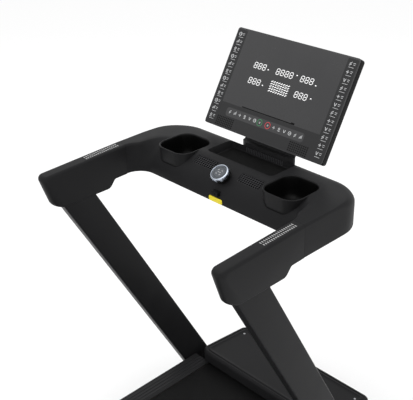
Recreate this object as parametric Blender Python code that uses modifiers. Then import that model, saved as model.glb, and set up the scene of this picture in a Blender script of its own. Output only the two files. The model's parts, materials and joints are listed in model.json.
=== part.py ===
"""Treadmill with a raised console bridge, folding deck and powered incline.

Frame: origin on the floor under the middle of the machine, +X to the user's right,
+Y forwards (the way the user faces), +Z up.  All sizes are in metres.
"""
import math

import bmesh
import bpy
from mathutils import Matrix, Vector

# ---------------------------------------------------------------- driving dimensions
LENGTH = 1.84             # rear covers to the front of the transport wheels
DECK_WIDTH = 0.720        # across the two side rails
BELT_WIDTH = 0.560        # running belt
GRIP_HEIGHT = 1.001       # side-rail top to handrail top, at the rear end
GRIP_LENGTH = 0.622       # console front edge to handrail rear end
SCREEN_WIDTH = 0.507
SCREEN_HEIGHT = 0.340
SCREEN_THICK = 0.027
SCREEN_LEAN = 30.1        # degrees back from vertical
UPRIGHT_LEAN = 29.0       # degrees, top towards the user
UPRIGHT_DEPTH = 0.1141    # fore and aft, square to the upright's axis
UPRIGHT_THICK = 0.0415
ROLLER_RADIUS = 0.030
WHEEL_RADIUS = 0.035
FOLD_PIVOT_HEIGHT = 0.115
DECK_STACK = 0.040        # lift arm, belt runs, rail edge and clearances over and under the rollers
STEP_HEIGHT = FOLD_PIVOT_HEIGHT + 2 * ROLLER_RADIUS + DECK_STACK    # floor to side-rail top
CUP_WIDTH = 0.138
CUP_LENGTH = 0.150
KNOB_RADIUS = 0.031

GAP = 0.0003              # between pieces that touch
RUNNING = 0.003           # beside parts that swing past each other
WALL = 0.003              # moulded shells
STEEL = 0.0025            # tube walls

# ---------------------------------------------------------------- worked out from them
FRONT = LENGTH / 2
REAR = -LENGTH / 2
HALF = DECK_WIDTH / 2
BELT_HALF = BELT_WIDTH / 2
UPRIGHT_X0 = HALF + RUNNING
UPRIGHT_X1 = UPRIGHT_X0 + UPRIGHT_THICK
GRIP_X0 = HALF + RUNNING
GRIP_X1 = GRIP_X0 + 0.048
LEAN = math.tan(math.radians(UPRIGHT_LEAN))
UPRIGHT_HALF = UPRIGHT_DEPTH / math.cos(math.radians(UPRIGHT_LEAN)) / 2
UPRIGHT_Y = FRONT - 0.3007          # middle of the upright at side-rail height

BELT_TOP = STEP_HEIGHT - 0.009
BELT_THICK = 0.0025
BOARD_TOP = BELT_TOP - BELT_THICK - GAP
BOARD_THICK = 0.020
ROLLER_Z = BELT_TOP - BELT_THICK - GAP - ROLLER_RADIUS
LOWER_RUN = ROLLER_Z - ROLLER_RADIUS - GAP - BELT_THICK
FRAME_TUBE_X0 = BELT_HALF + 0.024
FRAME_TUBE_X1 = HALF - 0.026
FRAME_TUBE_Z0 = LOWER_RUN - 0.010
FRAME_TUBE_Z1 = STEP_HEIGHT - 0.040

PIVOT_Y = FRONT - 0.170
PIVOT_Z = FOLD_PIVOT_HEIGHT
PIVOT_RADIUS = 0.014
LIFT_Y = FRONT - 0.510
LIFT_Z = FOLD_PIVOT_HEIGHT + 0.002
LIFT_ARM_X0 = FRAME_TUBE_X0 - 0.054
LIFT_ARM_X1 = FRAME_TUBE_X0 - 0.028
MID_CROSS_Y = PIVOT_Y - 0.005
LEVER = 0.080             # lift hinge to the incline rod's pin
LEVER_ANGLE = 16.85       # degrees behind straight down, half the lift's travel
WHEEL_Y = FRONT - WHEEL_RADIUS
BASE_TUBE = 0.050
BASE_FLOOR = 0.012        # underside of the floor tubes
BASE_TOP = BASE_FLOOR + BASE_TUBE
BASE_REAR = LIFT_Y - 0.110
BASE_TUBE_FRONT = WHEEL_Y - WHEEL_RADIUS - 0.008
CROSS_HEIGHT = 0.034

HOOD_LIP_Y = FRONT - 0.314
HOOD_FRONT_Y = FRONT - 0.046
HOOD_HALF = HALF - 0.036
HOOD_LIP_Z = STEP_HEIGHT + 0.048
HOOD_FRONT_Z = STEP_HEIGHT + 0.022
HOOD_BOTTOM = STEP_HEIGHT - 0.080
HOOD_WALL_X = HOOD_HALF - WALL
FRONT_ROLLER_Y = FRONT - 0.268
REAR_ROLLER_Y = REAR + 0.038
MOTOR_Y = FRONT - 0.124
MOTOR_Z = STEP_HEIGHT - 0.036
MOTOR_RADIUS = 0.043
PAN_TOP = MOTOR_Z - MOTOR_RADIUS - 0.002
PAN_THICK = 0.004
SHAFT_HALF = FRAME_TUBE_X0 + 0.015
BOARD_REAR = REAR_ROLLER_Y + ROLLER_RADIUS + 0.006
BOARD_FRONT = FRONT_ROLLER_Y - ROLLER_RADIUS - 0.006
CAP_LENGTH = 0.090
PULLEY_X0 = BELT_HALF + 0.003
PULLEY_X1 = PULLEY_X0 + 0.018
ROLLER_PULLEY_RADIUS = 0.033
MOTOR_PULLEY_RADIUS = 0.020

GRIP_TOP = STEP_HEIGHT + GRIP_HEIGHT
CONSOLE_TOP = GRIP_TOP + 0.012
BAR_BOTTOM = GRIP_TOP - 0.0933
FOOT_BOTTOM = GRIP_TOP - 0.123
CONSOLE_FRONT = FRONT - 0.290
BRIDGE_REAR = CONSOLE_FRONT - 0.242
SEAM_Y = CONSOLE_FRONT - 0.298
GRIP_REAR = CONSOLE_FRONT - GRIP_LENGTH
UPRIGHT_TOP = GRIP_TOP - 0.101
CUP_X = GRIP_X1 - 0.178
CUP_Y = CONSOLE_FRONT - 0.153
CUP_RIM = CONSOLE_TOP - 0.002
CUP_DEPTH = 0.078
VENT_X = 0.099
VENT_WIDTH = 0.086
VENT_Y0 = CONSOLE_FRONT - 0.2015
VENT_Y1 = CONSOLE_FRONT - 0.171
KNOB_Y = CONSOLE_FRONT - 0.2085
KNOB_TIP = 32.0           # degrees that the knob's face is tipped to the user
KNOB_SEAT = Vector((0, KNOB_Y, CONSOLE_TOP - 0.030))
TRAY_HALF = 0.140
TRAY_Y0 = CONSOLE_FRONT - 0.139
TRAY_Y1 = CONSOLE_FRONT - 0.016
TRAY_FLOOR = CONSOLE_TOP - 0.030
KEY_HALF = 0.014
KEY_Z0 = BAR_BOTTOM + 0.0265
KEY_Z1 = BAR_BOTTOM + 0.0405
FRAME_BAR_X0 = GRIP_X0 + 0.014
FRAME_BAR_X1 = GRIP_X0 + 0.034
FRAME_BAR_Z0 = BAR_BOTTOM + 0.006
FRAME_BAR_Z1 = BAR_BOTTOM + 0.022
FRAME_BAR_Y = CONSOLE_FRONT - 0.085
MAST_HALF = 0.116
MAST_Y = CONSOLE_FRONT + 0.001
MAST_DEPTH = 0.052
SCREEN_Y = CONSOLE_FRONT + 0.042    # middle of the screen's front face
SCREEN_Z = CONSOLE_TOP + 0.188
TILT_Y = SCREEN_Y + 0.040
TILT_Z = SCREEN_Z - 0.060


# ---------------------------------------------------------------- helpers
def clear_scene():
    for item in list(bpy.data.objects):
        bpy.data.objects.remove(item, do_unlink=True)
    for name in ("treadmill", "cutters"):
        group = bpy.data.collections.new(name)
        bpy.context.scene.collection.children.link(group)


def finish(name, colour, roughness=0.5, metallic=0.0):
    """A Principled material, shared by the pieces that are made of it."""
    material = bpy.data.materials.get(name)
    if material is None:
        material = bpy.data.materials.new(name)
        material.use_nodes = True
        shader = material.node_tree.nodes["Principled BSDF"]
        shader.inputs["Base Color"].default_value = (*colour, 1.0)
        shader.inputs["Roughness"].default_value = roughness
        shader.inputs["Metallic"].default_value = metallic
    return material


def painted_steel():
    return finish("painted_steel", (0.030, 0.030, 0.031), 0.45, 0.2)


def black_plastic():
    return finish("black_plastic", (0.035, 0.035, 0.036), 0.55)


def dark_plastic():
    return finish("dark_plastic", (0.012, 0.012, 0.012), 0.6)


def rubber():
    return finish("rubber", (0.015, 0.015, 0.015), 0.85)


def bare_steel():
    return finish("bare_steel", (0.45, 0.45, 0.46), 0.35, 1.0)


def machine_grey():
    return finish("machine_grey", (0.16, 0.16, 0.17), 0.4, 0.6)


def place(mesh, name, material):
    item = bpy.data.objects.new(name, mesh)
    bpy.data.collections["treadmill"].objects.link(item)
    if material is not None:
        mesh.materials.append(material)
    return item


def as_mesh(name, shape, material=None):
    """Turn a bmesh into a named object of the model."""
    mesh = bpy.data.meshes.new(name)
    bmesh.ops.recalc_face_normals(shape, faces=shape.faces)
    if shape.calc_volume(signed=True) < 0:
        bmesh.ops.reverse_faces(shape, faces=shape.faces)
    shape.to_mesh(mesh)
    shape.free()
    return place(mesh, name, material)


def box(name, low, high, material=None):
    shape = bmesh.new()
    bmesh.ops.create_cube(shape, size=1.0)
    size = Vector(high) - Vector(low)
    middle = (Vector(high) + Vector(low)) / 2
    bmesh.ops.scale(shape, vec=size, verts=shape.verts)
    bmesh.ops.translate(shape, vec=middle, verts=shape.verts)
    return as_mesh(name, shape, material)


def cylinder(name, centre, radius, length, axis="X", material=None, sides=20, radius2=None):
    """A cylinder or cone about X, Y or Z, with its middle at centre."""
    turn = {"X": Matrix.Rotation(math.pi / 2, 4, "Y"), "Y": Matrix.Rotation(-math.pi / 2, 4, "X"),
            "Z": Matrix.Identity(4)}[axis]
    shape = bmesh.new()
    bmesh.ops.create_cone(shape, cap_ends=True, segments=sides, radius1=radius,
                          radius2=radius if radius2 is None else radius2, depth=length,
                          matrix=Matrix.Translation(centre) @ turn)
    item = as_mesh(name, shape, material)
    item.data.shade_smooth()
    item.data.set_sharp_from_angle(angle=math.radians(35))
    return item


def turned(name, profile, centre, axis="X", material=None, steps=24):
    """Turn a profile of (distance along the axis, radius) pairs, listed anticlockwise."""
    mesh = bpy.data.meshes.new(name)
    shape = bmesh.new()
    corners = [shape.verts.new((radius, 0, along)) for along, radius in profile]
    for first, second in zip(corners, corners[1:] + corners[:1]):
        if first.co.x > 0 or second.co.x > 0:
            shape.edges.new((first, second))
    shape.to_mesh(mesh)
    shape.free()
    item = place(mesh, name, material)
    turn = {"X": Matrix.Rotation(math.pi / 2, 4, "Y"), "Z": Matrix.Identity(4)}[axis]
    item.matrix_world = Matrix.Translation(centre) @ turn
    screw = item.modifiers.new("turn", "SCREW")
    screw.steps = steps
    screw.render_steps = steps
    screw.use_merge_vertices = True
    screw.merge_threshold = 0.00001
    screw.use_smooth_shade = True
    return item


def rounded(corners, steps=4):
    """Corner points (x, y, radius) as a closed outline with each corner rounded."""
    outline = []
    count = len(corners)
    for index, (x, y, radius) in enumerate(corners):
        corner = Vector((x, y))
        if radius <= 0:
            outline.append(corner)
            continue
        to_last = (Vector(corners[index - 1][:2]) - corner).normalized()
        to_next = (Vector(corners[(index + 1) % count][:2]) - corner).normalized()
        half_angle = to_last.angle(to_next) / 2
        reach = radius / math.tan(half_angle)
        centre = corner + (to_last + to_next).normalized() * (radius / math.sin(half_angle))
        start = corner + to_last * reach - centre
        end = corner + to_next * reach - centre
        sweep = start.angle_signed(end)
        for step in range(steps + 1):
            spoke = start.copy()
            spoke.rotate(Matrix.Rotation(-sweep * step / steps, 2))
            outline.append(centre + spoke)
    return outline


def slab(name, outline, low, high, axis="Z", material=None):
    """Extrude a flat outline along X, Y or Z from low to high.

    The outline's two numbers are (x, y) for Z, (y, z) for X and (x, z) for Y.
    """
    curve = bpy.data.curves.new(name, "CURVE")
    curve.dimensions = "2D"
    curve.fill_mode = "BOTH"
    curve.extrude = (high - low) / 2
    spline = curve.splines.new("POLY")
    spline.points.add(len(outline) - 1)
    for point, place_at in zip(spline.points, outline):
        point.co = (place_at[0], place_at[1], 0, 1)
    spline.use_cyclic_u = True
    flat = bpy.data.objects.new(name + "_outline", curve)
    bpy.context.scene.collection.objects.link(flat)
    bpy.context.view_layer.update()
    mesh = bpy.data.meshes.new_from_object(flat.evaluated_get(bpy.context.evaluated_depsgraph_get()))
    bpy.data.objects.remove(flat, do_unlink=True)
    middle = (low + high) / 2
    turn = {"Z": Matrix.Identity(4),
            "X": Matrix(((0, 0, 1, 0), (1, 0, 0, 0), (0, 1, 0, 0), (0, 0, 0, 1))),
            "Y": Matrix(((1, 0, 0, 0), (0, 0, -1, 0), (0, 1, 0, 0), (0, 0, 0, 1)))}[axis]
    offset = {"X": (middle, 0, 0), "Y": (0, middle, 0), "Z": (0, 0, middle)}[axis]
    shape = bmesh.new()
    shape.from_mesh(mesh)
    bmesh.ops.remove_doubles(shape, verts=shape.verts, dist=0.000005)
    bmesh.ops.dissolve_limit(shape, angle_limit=0.001, verts=shape.verts, edges=shape.edges)
    shape.transform(Matrix.Translation(offset) @ turn)
    bpy.data.meshes.remove(mesh)
    return as_mesh(name, shape, material)


def loft(name, sections, material=None):
    """Skin closed sections that have the same number of points, and cap both ends."""
    shape = bmesh.new()
    rings = [[shape.verts.new(point) for point in section] for section in sections]
    count = len(rings[0])
    for near, far in zip(rings, rings[1:]):
        for index in range(count):
            following = (index + 1) % count
            shape.faces.new((near[index], near[following], far[following], far[index]))
    shape.faces.new(rings[0])
    shape.faces.new(rings[-1])
    return as_mesh(name, shape, material)


def inset(corners, distance):
    """Move the sides of an anticlockwise outline of (x, y, radius) corners inwards."""
    moved = []
    count = len(corners)
    for index, (x, y, radius) in enumerate(corners):
        corner = Vector((x, y))
        before = (corner - Vector(corners[index - 1][:2])).normalized()
        after = (Vector(corners[(index + 1) % count][:2]) - corner).normalized()
        inward = Vector((-before.y - after.y, before.x + after.x)).normalized()
        turn = before.cross(after)
        reach = distance / max(0.2, math.cos(before.angle(after) / 2))
        change = -distance if turn > 0 else distance
        moved.append((*(corner + inward * reach), max(radius + change, radius * 0.2) if radius else 0))
    return moved


def rolled_slab(name, corners, low, high, edge, material=None):
    """A slab along X, from (y, z, radius) corners, whose two faces roll into its sides."""
    sections = []
    for face, inward in ((low, 1), (high, -1)):
        near = []
        for angle in (0, 45, 90):
            depth = edge * (1 - math.cos(math.radians(angle)))
            outline = rounded(inset(corners, edge * (1 - math.sin(math.radians(angle)))))
            near.append([(face + inward * depth, point.x, point.y) for point in outline])
        sections += near if inward > 0 else near[::-1]
    return loft(name, sections, material)


def soften(item, width, segments=2, angle=40):
    bevel = item.modifiers.new("soft_edges", "BEVEL")
    bevel.width = width
    bevel.segments = segments
    bevel.limit_method = "ANGLE"
    bevel.angle_limit = math.radians(angle)
    return item


def use_tool(item, tool, operation):
    """Cut item by, or join it to, a tool that isn't itself a piece."""
    bpy.data.collections["treadmill"].objects.unlink(tool)
    bpy.data.collections["cutters"].objects.link(tool)
    tool.hide_render = True
    tool.display_type = "WIRE"
    change = item.modifiers.new(operation.lower(), "BOOLEAN")
    change.operation = operation
    change.object = tool
    return item


def cut(item, *tools):
    for tool in tools:
        use_tool(item, tool, "DIFFERENCE")
    return item


def weld(item, *tools):
    for tool in tools:
        use_tool(item, tool, "UNION")
    return item


def rounded_square(centre_x, centre_y, width, length, radius, z, steps=4):
    half_w, half_l = width / 2, length / 2
    flat = rounded([(centre_x - half_w, centre_y - half_l, radius), (centre_x + half_w, centre_y - half_l, radius),
                    (centre_x + half_w, centre_y + half_l, radius), (centre_x - half_w, centre_y + half_l, radius)],
                   steps)
    return [(point.x, point.y, z) for point in flat]


def sides():
    return (("left", -1), ("right", 1))


def between(side, inner, outer):
    """The low and high x of a piece that lies from inner to outer on one side."""
    return (inner, outer) if side > 0 else (-outer, -inner)


# ---------------------------------------------------------------- base
def base_frame():
    """Two floor tubes, two cross tubes, the wheel forks and the lift hinge's ears."""
    frame = None
    for _, side in sides():
        x0, x1 = between(side, UPRIGHT_X0, UPRIGHT_X1)
        tube = box("base_frame", (x0, BASE_REAR, BASE_FLOOR), (x1, BASE_TUBE_FRONT, BASE_TOP), painted_steel())
        for near, far in ((UPRIGHT_X0, UPRIGHT_X0 + 0.006), (UPRIGHT_X1 - 0.006, UPRIGHT_X1)):
            cheek_x = between(side, near, far)
            fork = rounded([(BASE_TUBE_FRONT - 0.04, BASE_FLOOR + 0.006, 0),
                            (WHEEL_Y + 0.012, WHEEL_RADIUS - 0.012, 0.008),
                            (WHEEL_Y + 0.012, WHEEL_RADIUS + 0.012, 0.008),
                            (BASE_TUBE_FRONT - 0.04, BASE_TOP - 0.006, 0)])
            weld(tube, slab("fork", fork, *cheek_x, axis="X"))
        ear_x = between(side, LIFT_ARM_X1 + GAP * 2, LIFT_ARM_X1 + 0.008)
        outline = rounded([(LIFT_Y - 0.060, BASE_FLOOR + 0.004, 0), (LIFT_Y + 0.020, BASE_FLOOR + 0.004, 0.006),
                           (LIFT_Y + 0.020, LIFT_Z + 0.020, 0.019), (LIFT_Y - 0.020, LIFT_Z + 0.020, 0.019)])
        ear = slab("ear", outline, *ear_x, axis="X")
        if frame is None:
            frame = tube
        else:
            weld(frame, tube)
        weld(frame, ear)
    reach = UPRIGHT_X0 + 0.004
    saddle = box("saddle", (-0.030, MID_CROSS_Y, BASE_FLOOR + 0.010),
                 (0.030, MID_CROSS_Y + 0.035, BASE_FLOOR + CROSS_HEIGHT + 0.020))
    for y0 in (LIFT_Y - 0.090, MID_CROSS_Y):
        cross = box("cross", (-reach, y0, BASE_FLOOR), (reach, y0 + 0.040, BASE_FLOOR + CROSS_HEIGHT))
        weld(frame, cross)
        cut(frame, box("cross_hollow", (-reach, y0 + STEEL, BASE_FLOOR + STEEL),
                       (reach, y0 + 0.040 - STEEL, BASE_FLOOR + CROSS_HEIGHT - STEEL)))
    for _, side in sides():
        hollow_x = between(side, UPRIGHT_X0 + STEEL, UPRIGHT_X1 - STEEL)
        cut(frame, box("tube_hollow", (hollow_x[0], BASE_REAR - 0.02, BASE_FLOOR + STEEL),
                       (hollow_x[1], BASE_TUBE_FRONT - 0.020, BASE_TOP - STEEL)))
    weld(frame, saddle)
    hinge = cylinder("lift_hinge_bore", (0, LIFT_Y, LIFT_Z), 0.0103, DECK_WIDTH)
    cut(frame, hinge)
    for _, side in sides():
        middle = side * (UPRIGHT_X0 + UPRIGHT_X1) / 2
        cut(frame, cylinder("axle_bore", (middle, WHEEL_Y, WHEEL_RADIUS), 0.0053, 0.08))
    return frame


def base_feet():
    for label, side in sides():
        x0, x1 = between(side, UPRIGHT_X0 + 0.004, UPRIGHT_X1 - 0.004)
        pad = box("base_foot_" + label, (x0, BASE_REAR + 0.010, 0), (x1, BASE_REAR + 0.070, BASE_FLOOR - GAP),
                  rubber())
        soften(pad, 0.002)


def transport_wheels():
    width = UPRIGHT_THICK - 0.012 - 0.004
    for label, side in sides():
        middle = side * (UPRIGHT_X0 + UPRIGHT_X1) / 2
        half = width / 2
        turned("transport_wheel_" + label,
               [(-half, 0.0054), (half, 0.0054), (half, WHEEL_RADIUS - 0.003), (half - 0.003, WHEEL_RADIUS),
                (-half + 0.003, WHEEL_RADIUS), (-half, WHEEL_RADIUS - 0.003)],
               (middle, WHEEL_Y, WHEEL_RADIUS), "X", rubber())
        cylinder("wheel_axle_" + label, (middle, WHEEL_Y, WHEEL_RADIUS), 0.0050, UPRIGHT_THICK + 0.004, "X",
                 bare_steel())


def upright_outline(z0, z1, grow=0.0):
    """The upright's side view between two heights, as (y, z)."""
    outline = []
    for z, ends in ((z0, (-1, 1)), (z1, (1, -1))):
        middle = UPRIGHT_Y - (z - STEP_HEIGHT) * LEAN
        outline += [(middle + end * (UPRIGHT_HALF + grow), z) for end in ends]
    return outline


def uprights():
    for label, side in sides():
        x0, x1 = between(side, UPRIGHT_X0, UPRIGHT_X1)
        post = slab("upright_" + label, upright_outline(BASE_TOP + GAP, UPRIGHT_TOP), x0, x1, "X", painted_steel())
        soften(post, 0.004, 2, 30)
        hollow = slab("hollow", upright_outline(BASE_TOP - 0.02, UPRIGHT_TOP + 0.02, -STEEL), x0 + STEEL, x1 - STEEL,
                      "X")
        cut(post, hollow)


def upright_boots():
    """Moulded collars that cover the joint between upright and floor tube."""
    for label, side in sides():
        x0, x1 = between(side, UPRIGHT_X0, UPRIGHT_X1 + 0.005)
        low, high = BASE_TOP + GAP * 2, BASE_TOP + 0.052
        boot = slab("upright_boot_" + label, upright_outline(low, high, 0.010), x0, x1, "X", black_plastic())
        soften(boot, 0.003)
        well_x = between(side, UPRIGHT_X0 - 0.01, UPRIGHT_X1 + GAP)
        well = slab("well", upright_outline(low - 0.01, high + 0.01, GAP), *well_x, axis="X")
        cut(boot, well)


# ---------------------------------------------------------------- lift
def lift_frame():
    """Two arms from the base hinge to the fold pivot, a cross tube and the incline lever."""
    frame = None
    for _, side in sides():
        arm_x = between(side, LIFT_ARM_X0, LIFT_ARM_X1)
        outline = rounded([(LIFT_Y - 0.018, LIFT_Z - 0.018, 0.017), (PIVOT_Y + 0.022, PIVOT_Z - 0.021, 0.020),
                           (PIVOT_Y + 0.022, PIVOT_Z + 0.021, 0.020), (LIFT_Y - 0.018, LIFT_Z + 0.018, 0.017)])
        arm = slab("lift_frame", outline, *arm_x, axis="X", material=painted_steel())
        if frame is None:
            frame = arm
        else:
            weld(frame, arm)
    weld(frame, cylinder("hinge_tube", (0, LIFT_Y, LIFT_Z), 0.0160, 2 * LIFT_ARM_X0 + 0.010))
    weld(frame, cylinder("hinge_stub", (0, LIFT_Y, LIFT_Z), 0.0100, 2 * (LIFT_ARM_X1 + 0.012)))
    lever_angle = math.radians(LEVER_ANGLE)
    pin = Vector((0, LIFT_Y - LEVER * math.sin(lever_angle), LIFT_Z - LEVER * math.cos(lever_angle)))
    for offset in (-0.020, 0.020):
        outline = rounded([(LIFT_Y - 0.014, LIFT_Z + 0.004, 0), (pin.y - 0.012, pin.z - 0.012, 0.011),
                           (pin.y + 0.012, pin.z - 0.012, 0.011), (LIFT_Y + 0.014, LIFT_Z + 0.004, 0)])
        weld(frame, slab("lever", outline, offset - 0.003, offset + 0.003, "X"))
    weld(frame, cylinder("lever_pin", pin, 0.0050, 0.044, sides=16))
    cut(frame, cylinder("pivot_bore", (0, PIVOT_Y, PIVOT_Z), PIVOT_RADIUS + GAP, DECK_WIDTH, sides=28))
    return frame


def fold_pivot():
    reach = FRAME_TUBE_X0 + 0.014
    tube = cylinder("fold_pivot_tube", (0, PIVOT_Y, PIVOT_Z), PIVOT_RADIUS, 2 * reach, "X", bare_steel(), 28)
    cut(tube, cylinder("tube_bore", (0, PIVOT_Y, PIVOT_Z), PIVOT_RADIUS - 0.003, 2 * reach + 0.02, "X"))
    return tube


def incline_actuator():
    """Screw jack: a motor on the base pulls a rod whose open eye holds the lift lever's pin."""
    lever_angle = math.radians(LEVER_ANGLE)
    eye = Vector((0, LIFT_Y - LEVER * math.sin(lever_angle), LIFT_Z - LEVER * math.cos(lever_angle)))
    nose = PIVOT_Y - 0.130
    body = box("incline_motor", (-0.026, nose, eye.z - 0.022), (0.026, MID_CROSS_Y - GAP, eye.z + 0.026),
               machine_grey())
    soften(body, 0.004)
    cut(body, cylinder("rod_bore", (0, nose, eye.z), 0.0123, 0.170, "Y"))
    rod = cylinder("incline_rod", (0, (eye.y + 0.012 + nose + 0.020) / 2, eye.z), 0.0120,
                   nose + 0.020 - eye.y - 0.012, "Y", bare_steel(), 24)
    weld(rod, cylinder("eye", eye, 0.0170, 0.024, "X", None, 24))
    cut(rod, cylinder("eye_hole", eye, 0.0100, 0.080, "X", None, 24))


# ---------------------------------------------------------------- deck
def deck_frame():
    """Side tubes, cross tubes between the belt's two runs, and the fold brackets."""
    frame = None
    for _, side in sides():
        tube_x = between(side, FRAME_TUBE_X0, FRAME_TUBE_X1)
        tube = box("deck_frame", (tube_x[0], REAR + 0.012, FRAME_TUBE_Z0),
                   (tube_x[1], HOOD_FRONT_Y - 0.012, FRAME_TUBE_Z1), painted_steel())
        bracket_x = between(side, FRAME_TUBE_X0, FRAME_TUBE_X0 + 0.008)
        outline = rounded([(PIVOT_Y - 0.050, FRAME_TUBE_Z0 + 0.004, 0), (PIVOT_Y - 0.022, PIVOT_Z - 0.022, 0.021),
                           (PIVOT_Y + 0.022, PIVOT_Z - 0.022, 0.021), (PIVOT_Y + 0.050, FRAME_TUBE_Z0 + 0.004, 0)])
        weld(tube, slab("bracket", outline, *bracket_x, axis="X"))
        if frame is None:
            frame = tube
        else:
            weld(frame, tube)
    span = BOARD_FRONT - BOARD_REAR
    cross_top = FRAME_TUBE_Z1
    rest_top = BOARD_TOP - BOARD_THICK - GAP
    cross_low = LOWER_RUN + BELT_THICK + 0.004
    for share in (0.12, 0.50, 0.88):
        middle = BOARD_REAR + span * share
        weld(frame, box("cross", (-FRAME_TUBE_X0 - 0.004, middle - 0.025, cross_low),
                        (FRAME_TUBE_X0 + 0.004, middle + 0.025, cross_top)))
    for _, side in sides():
        for share in (0.12, 0.50):
            middle = BOARD_REAR + span * share
            rest_x = between(side, BELT_HALF - 0.030, FRAME_TUBE_X0 - 0.006)
            weld(frame, box("rest", (rest_x[0], middle - 0.020, cross_low + 0.004),
                            (rest_x[1], middle + 0.020, rest_top)))
    for _, side in sides():
        hollow_x = between(side, FRAME_TUBE_X0 + STEEL, FRAME_TUBE_X1 - STEEL)
        cut(frame, box("tube_hollow", (hollow_x[0], REAR, FRAME_TUBE_Z0 + STEEL),
                       (hollow_x[1], HOOD_FRONT_Y + 0.01, FRAME_TUBE_Z1 - STEEL)))
    cut(frame, cylinder("pivot_bore", (0, PIVOT_Y, PIVOT_Z), PIVOT_RADIUS + GAP, DECK_WIDTH, sides=28))
    for y in (FRONT_ROLLER_Y, REAR_ROLLER_Y):
        cut(frame, cylinder("shaft_bore", (0, y, ROLLER_Z), 0.0083, DECK_WIDTH))
    return frame


def running_board():
    board = box("running_board", (-FRAME_TUBE_X0 + 0.004, BOARD_REAR, BOARD_TOP - BOARD_THICK),
                (FRAME_TUBE_X0 - 0.004, BOARD_FRONT, BOARD_TOP), finish("board", (0.05, 0.045, 0.04), 0.5))
    return soften(board, 0.002)


def deck_cushions():
    """Rubber mounts between the front cross tube and the running board, where feet land."""
    middle = BOARD_REAR + (BOARD_FRONT - BOARD_REAR) * 0.88
    top = BOARD_TOP - BOARD_THICK - GAP
    low = FRAME_TUBE_Z1 + GAP
    for label, side in sides():
        cylinder("deck_cushion_" + label, (side * (BELT_HALF - 0.040), middle, (top + low) / 2), 0.018,
                 top - low, "Z", rubber(), 24)


def running_belt():
    """The endless belt, a flat loop round both rollers."""
    def loop(radius):
        outline = []
        for y, start in ((FRONT_ROLLER_Y, -90), (REAR_ROLLER_Y, 90)):
            for step in range(13):
                angle = math.radians(start + 15 * step)
                outline.append((y + radius * math.cos(angle), ROLLER_Z + radius * math.sin(angle)))
        return outline
    inner = ROLLER_RADIUS + GAP
    belt = slab("running_belt", loop(inner + BELT_THICK), -BELT_HALF, BELT_HALF, "X",
                finish("belt", (0.016, 0.016, 0.016), 0.8))
    cut(belt, slab("belt_inside", loop(inner), -BELT_HALF - 0.01, BELT_HALF + 0.01, "X"))


def rollers():
    half = BELT_HALF + 0.001
    plug = 0.014
    bore = ROLLER_RADIUS - 0.0035
    for place_name, y in (("front", FRONT_ROLLER_Y), ("rear", REAR_ROLLER_Y)):
        turned(place_name + "_roller",
               [(-half, 0.0086), (-half + plug, 0.0086), (-half + plug, bore), (half - plug, bore),
                (half - plug, 0.0086), (half, 0.0086), (half, ROLLER_RADIUS - 0.001), (half - 0.001, ROLLER_RADIUS),
                (-half + 0.001, ROLLER_RADIUS), (-half, ROLLER_RADIUS - 0.001)],
               (0, y, ROLLER_Z), "X", bare_steel(), 24)
        cylinder(place_name + "_roller_shaft", (0, y, ROLLER_Z), 0.0080, 2 * SHAFT_HALF, "X",
                 bare_steel(), 24)


def drive_train():
    """Motor, its pulley and shaft, the ribbed belt and the pulley on the front roller."""
    wheel = [(PULLEY_X0, 0.0086), (PULLEY_X1, 0.0086), (PULLEY_X1, ROLLER_PULLEY_RADIUS),
             (PULLEY_X0, ROLLER_PULLEY_RADIUS)]
    turned("roller_pulley", wheel, (0, FRONT_ROLLER_Y, ROLLER_Z), "X", machine_grey(), 24)
    motor = cylinder("drive_motor", (0.090, MOTOR_Y, MOTOR_Z), MOTOR_RADIUS, 0.220, "X", machine_grey(), 24)
    weld(motor, box("motor_foot", (0.010, MOTOR_Y - 0.030, PAN_TOP + GAP),
                    (0.170, MOTOR_Y + 0.030, MOTOR_Z - MOTOR_RADIUS + 0.012)))
    cut(motor, cylinder("shaft_bore", (0.17, MOTOR_Y, MOTOR_Z), 0.0073, 0.160))
    shaft = cylinder("motor_rotor", (0.210, MOTOR_Y, MOTOR_Z), 0.0070, 2 * (PULLEY_X1 - 0.210), "X",
                     bare_steel(), 24)
    weld(shaft, cylinder("pulley", ((PULLEY_X0 + PULLEY_X1) / 2, MOTOR_Y, MOTOR_Z), MOTOR_PULLEY_RADIUS,
                         PULLEY_X1 - PULLEY_X0, "X", None, 20))
    weld(shaft, cylinder("flywheel", (0.234, MOTOR_Y, MOTOR_Z), 0.040, 0.016, "X", None, 24))

    def loop(extra):
        first = Vector((FRONT_ROLLER_Y, ROLLER_Z))
        second = Vector((MOTOR_Y, MOTOR_Z))
        radius_a, radius_b = ROLLER_PULLEY_RADIUS + extra, MOTOR_PULLEY_RADIUS + extra
        run = second - first
        heading = math.atan2(run.y, run.x)
        spread = math.acos((radius_a - radius_b) / run.length)
        outline = []
        for centre, radius, start, sweep in ((first, radius_a, heading + spread, 2 * (math.pi - spread)),
                                             (second, radius_b, heading - spread, 2 * spread)):
            for step in range(17):
                angle = start + sweep * step / 16
                outline.append((centre.x + radius * math.cos(angle), centre.y + radius * math.sin(angle)))
        return outline
    belt = slab("drive_belt", loop(0.0038), PULLEY_X0 + 0.001, PULLEY_X1 - 0.001, "X", rubber())
    cut(belt, slab("drive_belt_inside", loop(0.0008), PULLEY_X0 - 0.005, PULLEY_X1 + 0.005, "X"))


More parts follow.
